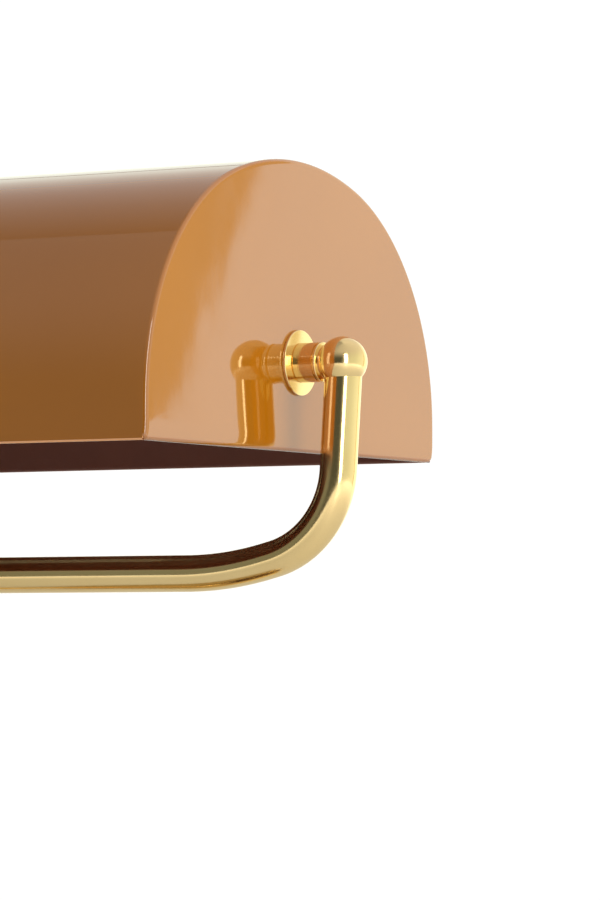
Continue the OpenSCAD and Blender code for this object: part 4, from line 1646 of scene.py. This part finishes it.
@dataclass
class Studio:
    """Camera, pale floor, room tones and soft lights."""

    eye: Point3 = (0.6949, -1.0076, 0.2243)
    heading: float = 29.256
    rise: float = 2.602
    lens: float = 173.72
    sensor: float = 36.0
    clip: Point2 = (0.05, 60.0)
    horizon: tuple[Tone, ...] = (
        Tone(-180, 0.24), Tone(-150, 0.22), Tone(-118, 0.22), Tone(-100, 0.09), Tone(-66, 0.08),
        Tone(-54, 0.4), Tone(-38, 0.66), Tone(-25, 0.8), Tone(0, 0.86), Tone(28, 1.04),
        Tone(46, 1.1), Tone(52, 1.3), Tone(60, 1.45), Tone(130, 1.35), Tone(155, 0.5),
        Tone(180, 0.24),
    )
    above: tuple[Tone, ...] = (
        Tone(-180, 0.42), Tone(-120, 0.42), Tone(-90, 0.6), Tone(0, 0.8), Tone(60, 0.9),
        Tone(120, 0.85), Tone(150, 0.5), Tone(180, 0.26),
    )
    brightest: float = 2.0
    slant: float = 0.33
    slant_from: float = 4.5
    paper_edge: Point2 = (59.4, 59.62)
    gap_start: float = 52.0
    gap: Colour = (0.44, 0.34, 0.22)
    paper_tint: Colour = (1.02, 1.1, 0.97)
    climb: Point2 = (8.0, 46.0)
    backdrop: float = 1.05
    floor_r: float = 1.5
    floor_t: float = 0.01
    floor_dark: Colour = (0.66, 0.66, 0.65)
    floor_pale: Colour = (0.7, 0.7, 0.69)
    glow_from: float = 0.4
    glow: Point2 = (0.03, 0.8)
    aim: Point3 = (0.13, 0.0, 0.30)
    lights: tuple[SoftLight, ...] = (
        SoftLight("window", -46, 10, 1.0, (0.25, 0.78), 3.2),
        SoftLight("side_fill", 12, 25, 1.6, (1.2, 1.2), 16, seen=False),
    )

    def build(self) -> None:
        """Sets the camera, the room, the floor and the lights."""
        self.place_camera()
        self.paint_room()
        self.lay_floor()
        for light in self.lights:
            self.hang(light)
        bpy.context.scene.view_settings.view_transform = "Standard"

    def place_camera(self) -> None:
        """Puts the camera in front of the right-hand end, looking slightly up."""
        data = bpy.data.cameras.new("camera")
        data.lens, data.sensor_width = self.lens, self.sensor
        data.clip_start, data.clip_end = self.clip
        camera = bpy.data.objects.new("camera", data)
        bpy.context.scene.collection.objects.link(camera)
        camera.location = self.eye
        camera.rotation_mode = "QUATERNION"
        ahead = direction(90 + self.heading, self.rise)
        camera.rotation_quaternion = ahead.to_track_quat("-Z", "Y")
        bpy.context.scene.camera = camera

    def belt(self, room: Nodes, tones: tuple[Tone, ...], share: Socket) -> Socket:
        """Adds a band of tones all round the lamp.

        Args:
            room: Nodes of the room.
            tones: The tones, in order from -180 to 180 degrees.
            share: Share of the full turn.

        Returns:
            The tone in that direction, as a share of the brightest.
        """
        node = room.new("ShaderNodeValToRGB")
        marks = node.color_ramp.elements
        marks.remove(marks[-1])
        for k, tone in enumerate(tones):
            mark = marks[0] if k == 0 else marks.new((tone.turn + 180) / 360)
            level = tone.level / self.brightest
            mark.color = (level, level, level, 1)
        room.feed(node.inputs["Fac"], share)
        return node.outputs["Color"]

    def paint_room(self) -> None:
        """Tones the room by direction: bright paper at the right, dim at the front left."""
        world = bpy.data.worlds.new("room")
        bpy.context.scene.world = world
        world.use_nodes = True
        room = Nodes(world.node_tree)
        split = room.new("ShaderNodeSeparateXYZ")
        room.feed(split.inputs[0], room.new("ShaderNodeTexCoord").outputs["Generated"])
        x, y, z = split.outputs
        degrees = 180 / math.pi
        height = room.maths("MULTIPLY", room.maths("ARCSINE", z), degrees)
        around = room.maths("MULTIPLY", room.maths("ARCTAN2", y, x), degrees)
        over = room.maths("SUBTRACT", height, self.slant_from)
        slanted = room.maths("SUBTRACT", around, room.maths("MULTIPLY", over, self.slant))
        low_share, high_share = (
            room.maths("MULTIPLY", room.maths("ADD", turn, 180), 1 / 360)
            for turn in (slanted, around)
        )
        past_gap = room.mapped(slanted, self.paper_edge, smooth=True)
        lit = room.maths("MAXIMUM", past_gap, room.maths("LESS_THAN", slanted, self.gap_start))
        low = room.mixed("MIX", lit, self.gap, self.belt(room, self.horizon, low_share))
        low = room.mixed("MULTIPLY", 1.0, low, self.paper_tint)
        high = self.belt(room, self.above, high_share)
        tones = room.mixed("MIX", room.mapped(height, self.climb, smooth=True), low, high)
        shades = []
        for colour, strength in ((tones, self.brightest), ((1.0, 1.0, 1.0), self.backdrop)):
            shade = room.new("ShaderNodeBackground")
            room.feed(shade.inputs["Color"], colour)
            room.feed(shade.inputs["Strength"], strength)
            shades.append(shade.outputs[0])
        chosen = room.new("ShaderNodeMixShader")
        seen = room.new("ShaderNodeLightPath").outputs["Is Camera Ray"]
        for socket, value in zip(chosen.inputs, (seen, *shades)):
            room.feed(socket, value)
        room.feed(room.new("ShaderNodeOutputWorld").inputs["Surface"], chosen.outputs[0])

    def lay_floor(self) -> None:
        """Lays a wide pale floor that turns to white far from the lamp."""
        bm = bmesh.new()
        top = [(r, 0.0) for r in (0.0, 0.15, 0.4, 0.7, 1.0, self.floor_r)]
        under = [(self.floor_r, -self.floor_t), (0.0, -self.floor_t)]
        turned(bm, top + under, CENTRE, Axis.UPRIGHT, 64)
        floor = new_piece("floor", bm)
        s = Shader("pale_floor")
        cloud = s.noise(scale=3, detail=4)
        s.link(s.ramp(cloud, self.floor_dark, self.floor_pale), "Base Color")
        s.link(s.spread(s.noise(scale=60), 0.55, 0.7), "Roughness")
        distance = s.new("ShaderNodeVectorMath")
        distance.operation = "LENGTH"
        s.feed(distance.inputs[0], s.place)
        fade = (self.glow_from, self.floor_r)
        glow = s.mapped(distance.outputs["Value"], fade, self.glow, smooth=True)
        s.link(glow, "Emission Strength")
        s.set(Emission_Color=(1.0, 1.0, 1.0))
        floor.data.materials.append(s.material)
        floor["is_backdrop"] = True

    def hang(self, light: SoftLight) -> None:
        """Hangs one soft light.

        Args:
            light: The light.
        """
        data = bpy.data.lights.new(light.name, "AREA")
        data.shape, data.energy = "RECTANGLE", light.power
        data.size, data.size_y = light.size
        lamp = bpy.data.objects.new(light.name, data)
        bpy.context.scene.collection.objects.link(lamp)
        out = direction(light.turn, light.rise)
        lamp.location = Vector(self.aim) + out * light.far
        lamp.rotation_mode = "QUATERNION"
        lamp.rotation_quaternion = (-out).to_track_quat("-Z", "Y")
        lamp.visible_camera = False
        lamp.visible_glossy = light.seen
        log.info("light %s", light.name)


def write_size() -> None:
    """Gathers the frame's box and the dressed model's box into a table, which is not kept."""
    boxes = {"frame": CAD_BOX, "looks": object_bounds()}
    {name: [list(low), list(high)] for name, (low, high) in boxes.items()}


def main() -> None:
    """Builds the lamp, sub-assembly by sub-assembly, and the studio round it."""
    logging.basicConfig(level=logging.INFO, format="%(name)s: %(message)s")
    Studio().build()
    fitter = Fitter(Paintbox())
    for assembly in (Shade, Pivots, Yoke, Column, Base, Switch, Lampholder, Bulb):
        log.info("building the %s", assembly.__name__.lower())
        assembly(fitter).build()
    write_size()


if __name__ == "__main__":
    main()
